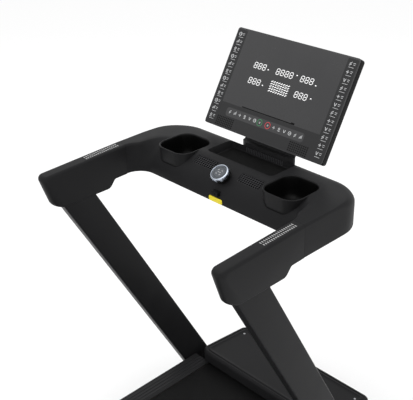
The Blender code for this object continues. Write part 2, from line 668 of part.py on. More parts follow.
def side_rails():
    """Ribbed foot rails beside the belt."""
    for label, side in sides():
        low, high = STEP_HEIGHT - 0.056, STEP_HEIGHT
        inner, outer = BELT_HALF + 0.003, HALF
        corners = [(inner, high - 0.007, 0.001), (inner + 0.006, high, 0.002), (outer, high, 0.008),
                   (outer, low, 0.003), (FRAME_TUBE_X1 + GAP * 2, low, 0),
                   (FRAME_TUBE_X1 + GAP * 2, FRAME_TUBE_Z1 + GAP, 0), (FRAME_TUBE_X0 - 0.003, FRAME_TUBE_Z1 + GAP, 0),
                   (FRAME_TUBE_X0 - 0.003, BOARD_TOP + 0.001, 0),
                   (inner, BOARD_TOP + 0.001, 0)]
        outline = [Vector((side * point.x, point.y)) for point in rounded(corners, 3)]
        rail = slab("side_rail_" + label, outline, REAR + CAP_LENGTH + GAP, HOOD_LIP_Y + 0.006, "Y", black_plastic())
        rail.data.materials[0] = finish("rail", (0.028, 0.028, 0.028), 0.7)


def rear_covers():
    """Moulded ends of the deck, one beside each end of the rear roller."""
    for label, side in sides():
        cap_x = between(side, BELT_HALF + 0.003, HALF)
        outline = rounded([(REAR, STEP_HEIGHT - 0.085, 0.012), (REAR + CAP_LENGTH, STEP_HEIGHT - 0.085, 0),
                           (REAR + CAP_LENGTH, STEP_HEIGHT + 0.002, 0), (REAR, STEP_HEIGHT + 0.002, 0.020)])
        cap = slab("rear_cover_" + label, outline, *cap_x, axis="X", material=black_plastic())
        soften(cap, 0.003, 2, 50)
        well_x = between(side, BELT_HALF - 0.01, FRAME_TUBE_X1 + GAP)
        cut(cap, box("well", (well_x[0], REAR + 0.010, FRAME_TUBE_Z0 - GAP),
                     (well_x[1], REAR + 0.2, ROLLER_Z + 0.012)))
        board_x = between(side, BELT_HALF - 0.01, FRAME_TUBE_X0)
        cut(cap, box("board_end", (board_x[0], BOARD_REAR - 0.002, 0), (board_x[1], REAR + 0.2, BOARD_TOP + 0.001)))
        cut(cap, box("under", (well_x[0], REAR + 0.010, 0), (well_x[1], REAR + 0.2, FRAME_TUBE_Z0)))


def motor_hood():
    """Cover over the motor with a raised lip along its rear edge."""
    floor = HOOD_BOTTOM
    corners = [(HOOD_LIP_Y, floor, 0), (HOOD_FRONT_Y - 0.014, floor, 0.006),
               (HOOD_FRONT_Y, HOOD_FRONT_Z - 0.060, 0.01), (HOOD_FRONT_Y - 0.006, HOOD_FRONT_Z, 0.016),
               (HOOD_LIP_Y, HOOD_LIP_Z, 0.014)]
    hood = rolled_slab("motor_hood", corners, -HOOD_HALF, HOOD_HALF, 0.006, black_plastic())
    inside = [(HOOD_LIP_Y - 0.01, floor - 0.01), (HOOD_FRONT_Y - 0.018, floor - 0.01),
              (HOOD_FRONT_Y - 0.006 - WALL, HOOD_FRONT_Z - 0.060),
              (HOOD_FRONT_Y - 0.012 - WALL, HOOD_FRONT_Z - WALL - 0.004),
              (HOOD_LIP_Y + WALL + 0.002, HOOD_LIP_Z - WALL - 0.004),
              (HOOD_LIP_Y + WALL + 0.002, BELT_TOP + 0.014), (HOOD_LIP_Y - 0.01, BELT_TOP + 0.014)]
    cut(hood, slab("hood_inside", inside, -HOOD_WALL_X, HOOD_WALL_X, "X"))
    for _, side in sides():
        slot_x = between(side, BELT_HALF - 0.001, HALF + 0.01)
        cut(hood, box("rail_slot", (slot_x[0], HOOD_LIP_Y - 0.02, floor - 0.02),
                      (slot_x[1], HOOD_LIP_Y + 0.007, STEP_HEIGHT + GAP * 2)))
        tube_x = between(side, FRAME_TUBE_X0 - GAP, FRAME_TUBE_X1 + GAP)
        cut(hood, box("tube_slot", (tube_x[0], HOOD_LIP_Y - 0.02, floor - 0.02),
                      (tube_x[1], HOOD_FRONT_Y + 0.02, FRAME_TUBE_Z1 + GAP)))
    return hood


def motor_pan():
    """Tray under the motor, hung between the deck's side tubes."""
    pan = box("motor_pan", (-FRAME_TUBE_X0 + GAP, FRONT_ROLLER_Y + ROLLER_RADIUS + 0.012, PAN_TOP - PAN_THICK),
              (FRAME_TUBE_X0 - GAP, HOOD_FRONT_Y - 0.024, PAN_TOP), dark_plastic())
    for _, side in sides():
        relief_x = between(side, LIFT_ARM_X0 - 0.004, LIFT_ARM_X1 + 0.004)
        cut(pan, box("arm_relief", (relief_x[0], PIVOT_Y - 0.08, PAN_TOP - 0.02),
                     (relief_x[1], PIVOT_Y + 0.05, PAN_TOP + 0.02)))
    return pan


def motor_controller():
    top = PAN_TOP
    board = box("motor_controller", (-0.230, MOTOR_Y - 0.050, top + GAP), (-0.070, MOTOR_Y + 0.045, top + 0.030),
                finish("controller", (0.02, 0.06, 0.03), 0.5))
    for step in range(7):
        x = -0.220 + 0.022 * step
        weld(board, box("fin", (x, MOTOR_Y - 0.045, top + 0.028), (x + 0.006, MOTOR_Y + 0.040, top + 0.050)))
    return board


def mains_fittings():
    """Rocker switch and inlet low on the hood's front face."""
    y = HOOD_FRONT_Y
    z = HOOD_FRONT_Z - 0.052
    hood = bpy.data.objects["motor_hood"]
    inlet_x, switch_x = 0.200, 0.150
    cut(hood, box("inlet_hole", (inlet_x - 0.0143, y - 0.03, z - 0.0123), (inlet_x + 0.0143, y + 0.02, z + 0.0123)),
        box("switch_hole", (switch_x - 0.0113, y - 0.03, z - 0.0133), (switch_x + 0.0113, y + 0.02, z + 0.0133)))
    inlet = box("power_inlet", (inlet_x - 0.014, y - 0.028, z - 0.012), (inlet_x + 0.014, y - 0.001, z + 0.012),
                dark_plastic())
    cut(inlet, box("inlet_socket", (inlet_x - 0.011, y - 0.020, z - 0.009), (inlet_x + 0.011, y + 0.01, z + 0.009)))
    for pin in (-0.006, 0.0, 0.006):
        weld(inlet, box("pin", (inlet_x + pin - 0.001, y - 0.022, z - 0.003),
                        (inlet_x + pin + 0.001, y - 0.006, z + 0.003)))
    rocker = [(-0.0100, -0.0115), (-0.0010, -0.0115), (-0.0040, 0), (0.0020, 0.0115), (-0.0100, 0.0115)]
    outline = [(y + along - 0.003, z + height) for along, height in rocker]
    slab("power_switch", outline, switch_x - 0.0098, switch_x + 0.0098, "X",
         finish("switch_red", (0.35, 0.02, 0.02), 0.4))


def rear_feet():
    """Adjustable feet under the rear of the deck."""
    for label, side in sides():
        x = side * (FRAME_TUBE_X0 + FRAME_TUBE_X1) / 2
        top = FRAME_TUBE_Z0 - GAP
        profile = [(0, 0), (0, 0.026), (0.004, 0.028), (0.012, 0.024), (0.016, 0.012), (top - 0.010, 0.012),
                   (top, 0.010), (top, 0)]
        turned("rear_foot_" + label, profile[::-1], (x, REAR + 0.130, 0), "Z", rubber(), 28)


# ---------------------------------------------------------------- console
def handrails():
    """Grip mouldings that cap the uprights and run forward to the console."""
    for label, side in sides():
        grip_x = between(side, GRIP_X0, GRIP_X1)
        rear_low = GRIP_REAR + 0.041
        corners = [(GRIP_REAR, GRIP_TOP, 0.014), (rear_low, BAR_BOTTOM, 0), (rear_low + 0.0165, FOOT_BOTTOM, 0.010),
                   (GRIP_REAR + 0.240, FOOT_BOTTOM, 0.024), (GRIP_REAR + 0.262, BAR_BOTTOM, 0.010),
                   (SEAM_Y - GAP, BAR_BOTTOM, 0), (SEAM_Y - GAP, CONSOLE_TOP, 0)]
        shell = rolled_slab("handrail_" + label, corners, *grip_x, 0.007, black_plastic())
        post_x = between(side, UPRIGHT_X0 - 0.01, UPRIGHT_X1 + GAP)
        cut(shell, slab("socket", upright_outline(FOOT_BOTTOM - 0.03, UPRIGHT_TOP + GAP, GAP), *post_x, axis="X"))
        channel_x = between(side, FRAME_BAR_X0 - GAP, FRAME_BAR_X1 + GAP)
        cut(shell, box("channel", (channel_x[0], GRIP_REAR + 0.070 - GAP, FRAME_BAR_Z0 - GAP),
                       (channel_x[1], SEAM_Y + 0.05, FRAME_BAR_Z1 + GAP)))
        cut(shell, box("channel_tab", (channel_x[0], GRIP_REAR + 0.085 - GAP, UPRIGHT_TOP),
                       (channel_x[1], GRIP_REAR + 0.135 + GAP, FRAME_BAR_Z1)))


def console_frame():
    """Steel bars from the two uprights forward through the handrails, joined by a crossbar."""
    frame = box("console_frame", (-FRAME_BAR_X1, FRAME_BAR_Y - 0.020, FRAME_BAR_Z0),
                (FRAME_BAR_X1, FRAME_BAR_Y, FRAME_BAR_Z1), painted_steel())
    for _, side in sides():
        bar_x = between(side, FRAME_BAR_X0, FRAME_BAR_X1)
        weld(frame, box("bar", (bar_x[0], GRIP_REAR + 0.070, FRAME_BAR_Z0), (bar_x[1], FRAME_BAR_Y, FRAME_BAR_Z1)))
        weld(frame, box("tab", (bar_x[0], GRIP_REAR + 0.085, UPRIGHT_TOP + GAP * 2),
                        (bar_x[1], GRIP_REAR + 0.135, FRAME_BAR_Z0 + 0.01)))
    return frame


def face_profile():
    """The user's side of the bridge as (y, z), from its low edge up to the flat top."""
    return [(BRIDGE_REAR, BAR_BOTTOM + 0.012), (BRIDGE_REAR + 0.009, CONSOLE_TOP - 0.063),
            (BRIDGE_REAR + 0.023, CONSOLE_TOP - 0.040), (BRIDGE_REAR + 0.0395, CONSOLE_TOP - 0.0235),
            (BRIDGE_REAR + 0.068, CONSOLE_TOP - 0.0065), (BRIDGE_REAR + 0.090, CONSOLE_TOP)]


def face_cutter(name):
    """Loft that removes what is above the sloped face; it fades out towards the handrails."""
    full = CUP_X + CUP_WIDTH / 2 + 0.004
    fade = GRIP_X0 - 0.006
    sections = []
    for x, share in ((-fade, 0.02), (-full, 1.0), (full, 1.0), (fade, 0.02)):
        section = []
        for y, z in face_profile():
            section.append((x, y * share + (BRIDGE_REAR - 0.002) * (1 - share),
                            CONSOLE_TOP - (CONSOLE_TOP - z) * share))
        section.append((x, section[-1][1], CONSOLE_TOP + 0.05))
        section.append((x, BRIDGE_REAR - 0.05, CONSOLE_TOP + 0.05))
        section.append((x, BRIDGE_REAR - 0.05, section[0][2]))
        sections.append(section)
    return loft(name, sections)


def console_housing():
    """The bridge between the handrails, with its front corners and the stubs of both arms."""
    outline = rounded([(GRIP_X1, SEAM_Y, 0), (GRIP_X1, CONSOLE_FRONT, 0.115), (-GRIP_X1, CONSOLE_FRONT, 0.115),
                       (-GRIP_X1, SEAM_Y, 0), (-GRIP_X0, SEAM_Y, 0), (-GRIP_X0, BRIDGE_REAR, 0.060),
                       (GRIP_X0, BRIDGE_REAR, 0.060), (GRIP_X0, SEAM_Y, 0)], 7)
    housing = slab("console_housing", outline, BAR_BOTTOM, CONSOLE_TOP, "Z", black_plastic())
    soften(housing, 0.007, 2, 50)
    cut(housing, face_cutter("face"))
    inner_half = CUP_X + CUP_WIDTH / 2 + 0.020
    cavity_top = TRAY_FLOOR - 0.006
    cut(housing, box("cavity", (-inner_half, BRIDGE_REAR + 0.045, BAR_BOTTOM - 0.01),
                     (inner_half, CONSOLE_FRONT - 0.010, cavity_top)))
    for _, side in sides():
        tub = rounded_square(side * CUP_X, CUP_Y, CUP_WIDTH + 2 * GAP, CUP_LENGTH + 2 * GAP, 0.034,
                             CUP_RIM - CUP_DEPTH - 0.004)
        rim = [(x, y, CONSOLE_TOP + 0.02) for x, y, _ in tub]
        cut(housing, loft("cup_hole", [tub, rim]))
        vent_x = between(side, VENT_X - VENT_WIDTH / 2, VENT_X + VENT_WIDTH / 2)
        cut(housing, box("vent_hole", (vent_x[0], VENT_Y0, cavity_top - 0.02), (vent_x[1], VENT_Y1, CONSOLE_TOP + 0.01)))
        channel_x = between(side, FRAME_BAR_X0 - GAP, FRAME_BAR_X1 + GAP)
        cut(housing, box("channel", (channel_x[0], SEAM_Y - 0.01, FRAME_BAR_Z0 - GAP),
                         (channel_x[1], FRAME_BAR_Y + GAP, FRAME_BAR_Z1 + GAP)))
    cut(housing, box("crossbar_channel", (-FRAME_BAR_X1 - GAP, FRAME_BAR_Y - 0.020 - GAP, FRAME_BAR_Z0 - GAP),
                     (FRAME_BAR_X1 + GAP, FRAME_BAR_Y + GAP, FRAME_BAR_Z1 + GAP)))
    tray = slab("tray_hole", rounded([(-TRAY_HALF, TRAY_Y0, 0.008), (TRAY_HALF, TRAY_Y0, 0.008),
                                      (TRAY_HALF, TRAY_Y1, 0.008), (-TRAY_HALF, TRAY_Y1, 0.008)]),
                TRAY_FLOOR, CONSOLE_TOP + 0.02)
    cut(housing, tray)
    cut(housing, cylinder("knob_hole", (0, KNOB_Y, CONSOLE_TOP - 0.03), KNOB_RADIUS - 0.004, 0.16, "Z"))
    cut(housing, box("key_pocket", (-KEY_HALF - GAP, BRIDGE_REAR - 0.02, KEY_Z0 - GAP),
                     (KEY_HALF + GAP, BRIDGE_REAR + 0.036, KEY_Z1 + GAP)))
    return housing


def console_cover():
    """Plate that closes the underside of the bridge."""
    inner_half = CUP_X + CUP_WIDTH / 2 + 0.020
    return box("console_cover", (-inner_half + GAP, BRIDGE_REAR + 0.045 + GAP, BAR_BOTTOM),
               (inner_half - GAP, CONSOLE_FRONT - 0.010 - GAP, BAR_BOTTOM + 0.004), dark_plastic())


def cup_liners():
    """Open tubs; each stands a little out of the sloped face below its rim."""
    for label, side in sides():
        x = side * CUP_X
        outer = [rounded_square(x, CUP_Y, CUP_WIDTH, CUP_LENGTH, 0.034, CUP_RIM - CUP_DEPTH),
                 rounded_square(x, CUP_Y, CUP_WIDTH, CUP_LENGTH, 0.034, CUP_RIM)]
        liner = loft("cup_liner_" + label, outer, dark_plastic())
        inner = [rounded_square(x, CUP_Y, CUP_WIDTH - 0.016, CUP_LENGTH - 0.016, 0.030, CUP_RIM - CUP_DEPTH + WALL),
                 rounded_square(x, CUP_Y, CUP_WIDTH - 0.006, CUP_LENGTH - 0.006, 0.032, CUP_RIM + 0.01)]
        cut(liner, loft("cup_inside", inner))


def vent_grilles():
    """Square-hole grilles, tipped with the face."""
    tip = math.atan2(0.017, 0.0285)
    length = (VENT_Y1 - VENT_Y0 - 0.003) / math.cos(tip)
    for label, side in sides():
        columns, rows = 6, 3
        width = VENT_WIDTH - 0.006
        grille = box("vent_grille_" + label, (-width / 2, -length / 2, -0.0015), (width / 2, length / 2, 0.0015),
                     dark_plastic())
        for column in range(columns):
            for row in range(rows):
                x = (column - (columns - 1) / 2) * width / (columns + 0.5)
                y = (row - (rows - 1) / 2) * length / (rows + 0.5)
                hole = box("hole", (x - 0.0045, y - 0.0034, -0.01), (x + 0.0045, y + 0.0034, 0.01))
                hole.parent = grille
                cut(grille, hole)
        middle_z = CONSOLE_TOP - 0.0165
        middle = Vector((side * VENT_X, (VENT_Y0 + VENT_Y1) / 2, middle_z))
        grille.matrix_world = Matrix.Translation(middle) @ Matrix.Rotation(tip, 4, "X")


def tray_mat():
    half, rear, front = TRAY_HALF - 0.003, TRAY_Y0 + 0.003, TRAY_Y1 - 0.003
    outline = rounded([(-half, rear, 0.006), (half, rear, 0.006), (half, front, 0.006), (-half, front, 0.006)])
    return slab("tray_mat", outline, TRAY_FLOOR + GAP, TRAY_FLOOR + 0.0025, "Z", rubber())


def control_knob():
    """Turning ring with a push button in its middle, on a fixed collar."""
    along = Matrix.Rotation(math.radians(KNOB_TIP), 4, "X")

    def ring(name, profile, material):
        item = turned(name, profile, (0, 0, 0), "Z", material, 24)
        item.matrix_world = Matrix.Translation(KNOB_SEAT) @ along
        return item

    outer = KNOB_RADIUS
    ring("knob_collar", [(0.000, 0.0), (0.000, outer - 0.006), (0.0185, outer - 0.003), (0.0185, 0.0)][::-1],
         dark_plastic())
    ring("control_knob", [(0.0190, 0.0200), (0.0190, outer), (0.0300, outer), (0.0320, outer - 0.002),
                          (0.0320, 0.0200)][::-1], finish("knob_silver", (0.55, 0.56, 0.58), 0.25, 1.0))
    ring("knob_button", [(0.0215, 0.0), (0.0215, 0.0195), (0.0305, 0.0195), (0.0315, 0.0180), (0.0315, 0.0)][::-1],
         dark_plastic())


def safety_key():
    """Magnetic stop key that pulls out of its pocket towards the user."""
    key = box("safety_key", (-KEY_HALF, BRIDGE_REAR - 0.006, KEY_Z0), (KEY_HALF, BRIDGE_REAR + 0.034, KEY_Z1),
              dark_plastic())
    return soften(key, 0.002)


def label_plate():
    low, high = BAR_BOTTOM + 0.0025, BAR_BOTTOM + 0.0195
    outline = rounded([(-0.029, low, 0.005), (0.029, low, 0.005), (0.029, high, 0.005), (-0.029, high, 0.005)])
    return slab("label_plate", outline, BRIDGE_REAR - GAP - 0.0012, BRIDGE_REAR - GAP, "Y",
                finish("label_yellow", (0.75, 0.62, 0.05), 0.5))


# ---------------------------------------------------------------- screen
def screen_mast():
    """Post that rises from the console's front wall to the back of the screen."""
    back = MAST_Y + MAST_DEPTH
    low = BAR_BOTTOM + 0.020
    ear_radius = 0.018
    middle, width = (MAST_Y + back) / 2, 2 * MAST_HALF
    mast = loft("screen_mast", [rounded_square(0, middle, width, MAST_DEPTH, 0.012, low, 3),
                                rounded_square(0, middle, width, MAST_DEPTH, 0.012, SCREEN_Z - 0.171, 3),
                                rounded_square(0, TILT_Y + 0.004, width - 0.040, 2 * ear_radius, 0.012, TILT_Z, 3)],
                painted_steel())
    cut(mast, cylinder("pin_bore", (0, TILT_Y, TILT_Z - 0.022), 0.0063, 0.4, "X"))
    return mast


def local_screen(x, up, out):
    """A point given across, up and out of the screen's front face, in the part's frame."""
    lean = math.radians(SCREEN_LEAN)
    return Vector((x, SCREEN_Y + up * math.sin(lean) - out * math.cos(lean),
                   SCREEN_Z + up * math.cos(lean) + out * math.sin(lean)))


def lean_back(item):
    """Turn a piece made flat, with z out of its face and y up, onto the screen."""
    lean = math.radians(90 - SCREEN_LEAN)
    item.matrix_world = Matrix.Translation((0, SCREEN_Y, SCREEN_Z)) @ Matrix.Rotation(lean, 4, "X")
    return item


def flat_panel(name, width, height, radius, back, front, material=None):
    half_w, half_h = width / 2, height / 2
    return slab(name, rounded([(-half_w, -half_h, radius), (half_w, -half_h, radius), (half_w, half_h, radius),
                               (-half_w, half_h, radius)]), back, front, "Z", material)


def screen_panel():
    """Rear shell, board and glass, and the two hinge plates on the shell's back."""
    shell = flat_panel("screen_shell", SCREEN_WIDTH, SCREEN_HEIGHT, 0.008, -SCREEN_THICK, -0.0033, black_plastic())
    soften(shell, 0.003, 2, 60)
    pocket = flat_panel("pocket", SCREEN_WIDTH - 0.008, SCREEN_HEIGHT - 0.008, 0.006, -SCREEN_THICK + WALL, 0.01)
    pocket.parent = shell
    cut(shell, pocket)
    lean_back(shell)
    board = flat_panel("display_board", SCREEN_WIDTH - 0.060, SCREEN_HEIGHT - 0.060, 0.003, -0.018, -0.012,
                       finish("circuit", (0.02, 0.09, 0.04), 0.5))
    for post_x in (-0.18, 0.18):
        for post_y in (-0.10, 0.10):
            post = cylinder("post", (post_x, post_y, -0.0195), 0.004, 0.0085, "Z", None, 12)
            post.parent = board
            weld(board, post)
    lean_back(board)
    glass = flat_panel("screen_glass", SCREEN_WIDTH, SCREEN_HEIGHT, 0.008, -0.0030, 0.0,
                       finish("screen_black", (0.045, 0.045, 0.047), 0.12))
    lean_back(glass)


def tilt_hinge():
    """Bracket on the screen's back and the pin that it shares with the mast."""
    pin_z = TILT_Z - 0.022
    cylinder("tilt_pin", (0, TILT_Y, pin_z), 0.0060, 2 * MAST_HALF + 0.012, "X", bare_steel(), 24)
    back = local_screen(0, 0, -SCREEN_THICK - GAP)
    lean = math.radians(SCREEN_LEAN)
    out = Vector((0, -math.cos(lean), math.sin(lean)))
    up = Vector((0, math.sin(lean), math.cos(lean)))
    pin = Vector((0, TILT_Y, pin_z))
    reach = (pin - back).dot(up)
    plate_low = back + up * (reach - 0.030)
    plate_high = back + up * (reach + 0.050)
    outline = [(plate_low.y, plate_low.z), ((plate_low - out * 0.004).y, (plate_low - out * 0.004).z),
               (pin.y - 0.004, pin.z - 0.013), (pin.y + 0.010, pin.z - 0.008), (pin.y + 0.011, pin.z + 0.008),
               ((plate_high - out * 0.004).y, (plate_high - out * 0.004).z), (plate_high.y, plate_high.z)]
    x0 = MAST_HALF + 0.001
    bracket = slab("screen_bracket", outline, x0, x0 + 0.004, "X", painted_steel())
    weld(bracket, slab("cheek", outline, -x0 - 0.004, -x0, "X"))
    strap = [(plate_low.y, plate_low.z), ((plate_low - out * 0.004).y, (plate_low - out * 0.004).z),
             ((plate_high - out * 0.004).y, (plate_high - out * 0.004).z), (plate_high.y, plate_high.z)]
    weld(bracket, slab("strap", strap, -x0 - 0.002, x0 + 0.002, "X"))
    cut(bracket, cylinder("pin_bore", pin, 0.0063, 0.4, "X"))
    return bracket


def build():
    clear_scene()
    base_frame()
    base_feet()
    transport_wheels()
    uprights()
    upright_boots()
    lift_frame()
    fold_pivot()
    incline_actuator()
    deck_frame()
    running_board()
    deck_cushions()
    running_belt()
    rollers()
    drive_train()
    side_rails()
    rear_covers()
    motor_hood()
    motor_pan()
    motor_controller()
    mains_fittings()
    rear_feet()
    handrails()
    console_frame()
    console_housing()
    console_cover()
    cup_liners()
    vent_grilles()
    tray_mat()
    control_knob()
    safety_key()
    label_plate()
    screen_mast()
    screen_panel()
    tilt_hinge()


build()
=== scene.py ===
"""Looks for the folding treadmill: moulded console and handrails, steel frame, deck and display."""
import json
import math

import bmesh
import bpy
from mathutils import Matrix, Vector


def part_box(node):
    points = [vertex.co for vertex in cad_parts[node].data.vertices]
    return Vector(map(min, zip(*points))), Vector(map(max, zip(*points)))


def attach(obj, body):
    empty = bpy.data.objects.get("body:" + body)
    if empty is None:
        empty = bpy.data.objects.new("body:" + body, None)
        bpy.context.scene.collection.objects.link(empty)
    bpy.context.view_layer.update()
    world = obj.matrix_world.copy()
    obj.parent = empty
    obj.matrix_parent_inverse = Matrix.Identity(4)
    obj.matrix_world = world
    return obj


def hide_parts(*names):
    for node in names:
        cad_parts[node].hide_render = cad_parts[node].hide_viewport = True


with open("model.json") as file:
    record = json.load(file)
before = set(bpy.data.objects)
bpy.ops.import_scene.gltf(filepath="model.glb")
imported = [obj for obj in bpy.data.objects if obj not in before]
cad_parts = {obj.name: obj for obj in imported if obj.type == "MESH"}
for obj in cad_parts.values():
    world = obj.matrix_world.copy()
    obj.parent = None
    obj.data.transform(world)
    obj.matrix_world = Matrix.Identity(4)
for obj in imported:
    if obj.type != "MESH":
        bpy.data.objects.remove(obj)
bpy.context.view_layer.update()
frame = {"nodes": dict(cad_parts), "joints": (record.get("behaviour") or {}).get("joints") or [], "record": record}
SIDES = (("left", -1), ("right", 1))

# ---------------------------------------------------------------- places read from the frame
HOUSING_LOW, HOUSING_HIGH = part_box("console_housing")
RAIL_LOW, RAIL_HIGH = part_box("side_rail_right")
GRIP_LOW, GRIP_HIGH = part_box("handrail_right")
POST_LOW, POST_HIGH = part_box("upright_right")
BELT_LOW, BELT_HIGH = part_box("running_belt")
HOOD_LOW, HOOD_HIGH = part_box("motor_hood")
CUP_LOW, CUP_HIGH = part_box("cup_liner_right")
VENT_LOW, VENT_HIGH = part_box("vent_grille_right")
TRAY_LOW, TRAY_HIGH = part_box("tray_mat")
KEY_LOW, KEY_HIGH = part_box("safety_key")
LABEL_LOW, LABEL_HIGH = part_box("label_plate")
MAST_LOW, MAST_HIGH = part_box("screen_mast")
GLASS_LOW, GLASS_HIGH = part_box("screen_glass")

CONSOLE_TOP = HOUSING_HIGH.z
BAR_BOTTOM = HOUSING_LOW.z
CONSOLE_FRONT = HOUSING_HIGH.y
SEAM_Y = HOUSING_LOW.y
GRIP_X0, GRIP_X1 = GRIP_LOW.x, GRIP_HIGH.x
GRIP_REAR = GRIP_LOW.y
FOOT_BOTTOM = GRIP_LOW.z
GRIP_TOP = CONSOLE_TOP - 0.012
BRIDGE_REAR = CONSOLE_FRONT - 0.242
BELT_HALF = BELT_HIGH.x
CUP = (CUP_LOW + CUP_HIGH) / 2
CUP_WIDTH = CUP_HIGH.x - CUP_LOW.x
CUP_LENGTH = CUP_HIGH.y - CUP_LOW.y
CUP_RIM = CUP_HIGH.z
CUP_FLOOR = CUP_LOW.z
CUP_RADIUS = 0.043
VENT = (VENT_LOW + VENT_HIGH) / 2
VENT_TIP = math.atan2(0.017, 0.0285)     # rise and run of the sloping face there
GRILLE_WIDTH, GRILLE_LENGTH = 0.089, 0.0335
GAP = 0.0008      # room round a part that sits in an opening
SCREEN_LEAN = math.radians(30.1)
SCREEN_OUT = Vector((0, -math.cos(SCREEN_LEAN), math.sin(SCREEN_LEAN)))
GLASS_THICK = 0.003
SCREEN_CENTRE = (GLASS_LOW + GLASS_HIGH) / 2 + SCREEN_OUT * GLASS_THICK / 2
SCREEN_WIDTH = GLASS_HIGH.x - GLASS_LOW.x
SCREEN_HEIGHT = (GLASS_HIGH.z - GLASS_LOW.z - GLASS_THICK * math.sin(SCREEN_LEAN)) / math.cos(SCREEN_LEAN)
SCREEN_THICK = 0.027
ON_SCREEN = Matrix.Translation(SCREEN_CENTRE) @ Matrix.Rotation(math.pi / 2 - SCREEN_LEAN, 4, "X")
KNOB_JOINT = next(joint for joint in frame["joints"] if joint["name"] == "knob_turn")
ON_KNOB = Matrix.Translation(KNOB_JOINT["pos_m"]) @ Matrix.Rotation(math.radians(32), 4, "X")
KNOB_RADIUS = 0.031


# ---------------------------------------------------------------- materials
def linear(code):
    """An sRGB hex colour as the linear values that Blender works in."""
    channels = [int(code[start:start + 2], 16) / 255 for start in (0, 2, 4)]
    return (*(c / 12.92 if c <= 0.04045 else ((c + 0.055) / 1.055) ** 2.4 for c in channels), 1.0)


def add(tree, kind, inputs=None, **settings):
    """Add a node with its settings, its input values and its links."""
    made = tree.nodes.new(kind)
    for key, value in settings.items():
        setattr(made, key, value)
    for key, value in (inputs or {}).items():
        socket = made.inputs[key]
        if isinstance(value, bpy.types.NodeSocket):
            tree.links.new(value, socket)
        else:
            socket.default_value = value
    return made


def start_material(name, roughness, **shader_values):
    """A named material with a Principled shader, as the material, its tree, shader and coordinates."""
    material = bpy.data.materials.new(name)
    material.use_nodes = True
    tree = material.node_tree
    shader = tree.nodes["Principled BSDF"]
    shader.inputs["Roughness"].default_value = roughness
    for key, value in shader_values.items():
        shader.inputs[key.replace("_", " ")].default_value = value
    place = add(tree, "ShaderNodeTexCoord").outputs["Object"]
    return material, tree, shader, place


def moulded(name, dark, light, roughness, grain_mm, depth_mm, **shader_values):
    """A surface with a fine grain: a slow drift of tone, a grain bump and a slight drift of gloss."""
    material, tree, shader, place = start_material(name, roughness, **shader_values)
    drift = add(tree, "ShaderNodeTexNoise", {"Vector": place, "Scale": 9.0, "Detail": 3.0})
    tone = add(tree, "ShaderNodeMix", {"Factor": drift.outputs["Fac"], "A": linear(dark), "B": linear(light)},
               data_type="RGBA")
    grain = add(tree, "ShaderNodeTexNoise", {"Vector": place, "Scale": 1000 / grain_mm, "Detail": 2.0})
    bump = add(tree, "ShaderNodeBump", {"Height": grain.outputs["Fac"], "Distance": depth_mm / 1000,
                                        "Strength": 0.8})
    gloss = add(tree, "ShaderNodeMapRange", {"Value": drift.outputs["Fac"], "From Min": 0.3, "From Max": 0.7,
                                             "To Min": roughness - 0.05, "To Max": roughness + 0.05})
    tree.links.new(tone.outputs["Result"], shader.inputs["Base Color"])
    tree.links.new(bump.outputs["Normal"], shader.inputs["Normal"])
    tree.links.new(gloss.outputs["Result"], shader.inputs["Roughness"])
    return material


def plain(name, code, roughness, **shader_values):
    """A small smooth part: one colour with a faint drift of gloss."""
    material, tree, shader, place = start_material(name, roughness, **shader_values)
    shader.inputs["Base Color"].default_value = linear(code)
    drift = add(tree, "ShaderNodeTexNoise", {"Vector": place, "Scale": 60.0, "Detail": 2.0})
    gloss = add(tree, "ShaderNodeMapRange", {"Value": drift.outputs["Fac"], "To Min": max(0.02, roughness - 0.04),
                                             "To Max": roughness + 0.04})
    tree.links.new(gloss.outputs["Result"], shader.inputs["Roughness"])
    return material


def turned_metal(name, code, roughness, line_mm, axis):
    """Machined metal: fine turning or drawing marks across one axis of the part."""
    material, tree, shader, place = start_material(name, roughness, Metallic=1.0)
    stretch = {"X": (1, 0.02, 0.02), "Y": (0.02, 1, 0.02), "Z": (0.02, 0.02, 1)}[axis]
    squeezed = add(tree, "ShaderNodeMapping", {"Vector": place, "Scale": stretch})
    marks = add(tree, "ShaderNodeTexNoise", {"Vector": squeezed.outputs["Vector"], "Scale": 1000 / line_mm,
                                             "Detail": 2.0})
    bump = add(tree, "ShaderNodeBump", {"Height": marks.outputs["Fac"], "Distance": 0.0001, "Strength": 0.35})
    tone = add(tree, "ShaderNodeMapRange", {"Value": marks.outputs["Fac"], "To Min": roughness - 0.06,
                                            "To Max": roughness + 0.08})
    shader.inputs["Base Color"].default_value = linear(code)
    tree.links.new(bump.outputs["Normal"], shader.inputs["Normal"])
    tree.links.new(tone.outputs["Result"], shader.inputs["Roughness"])
    return material


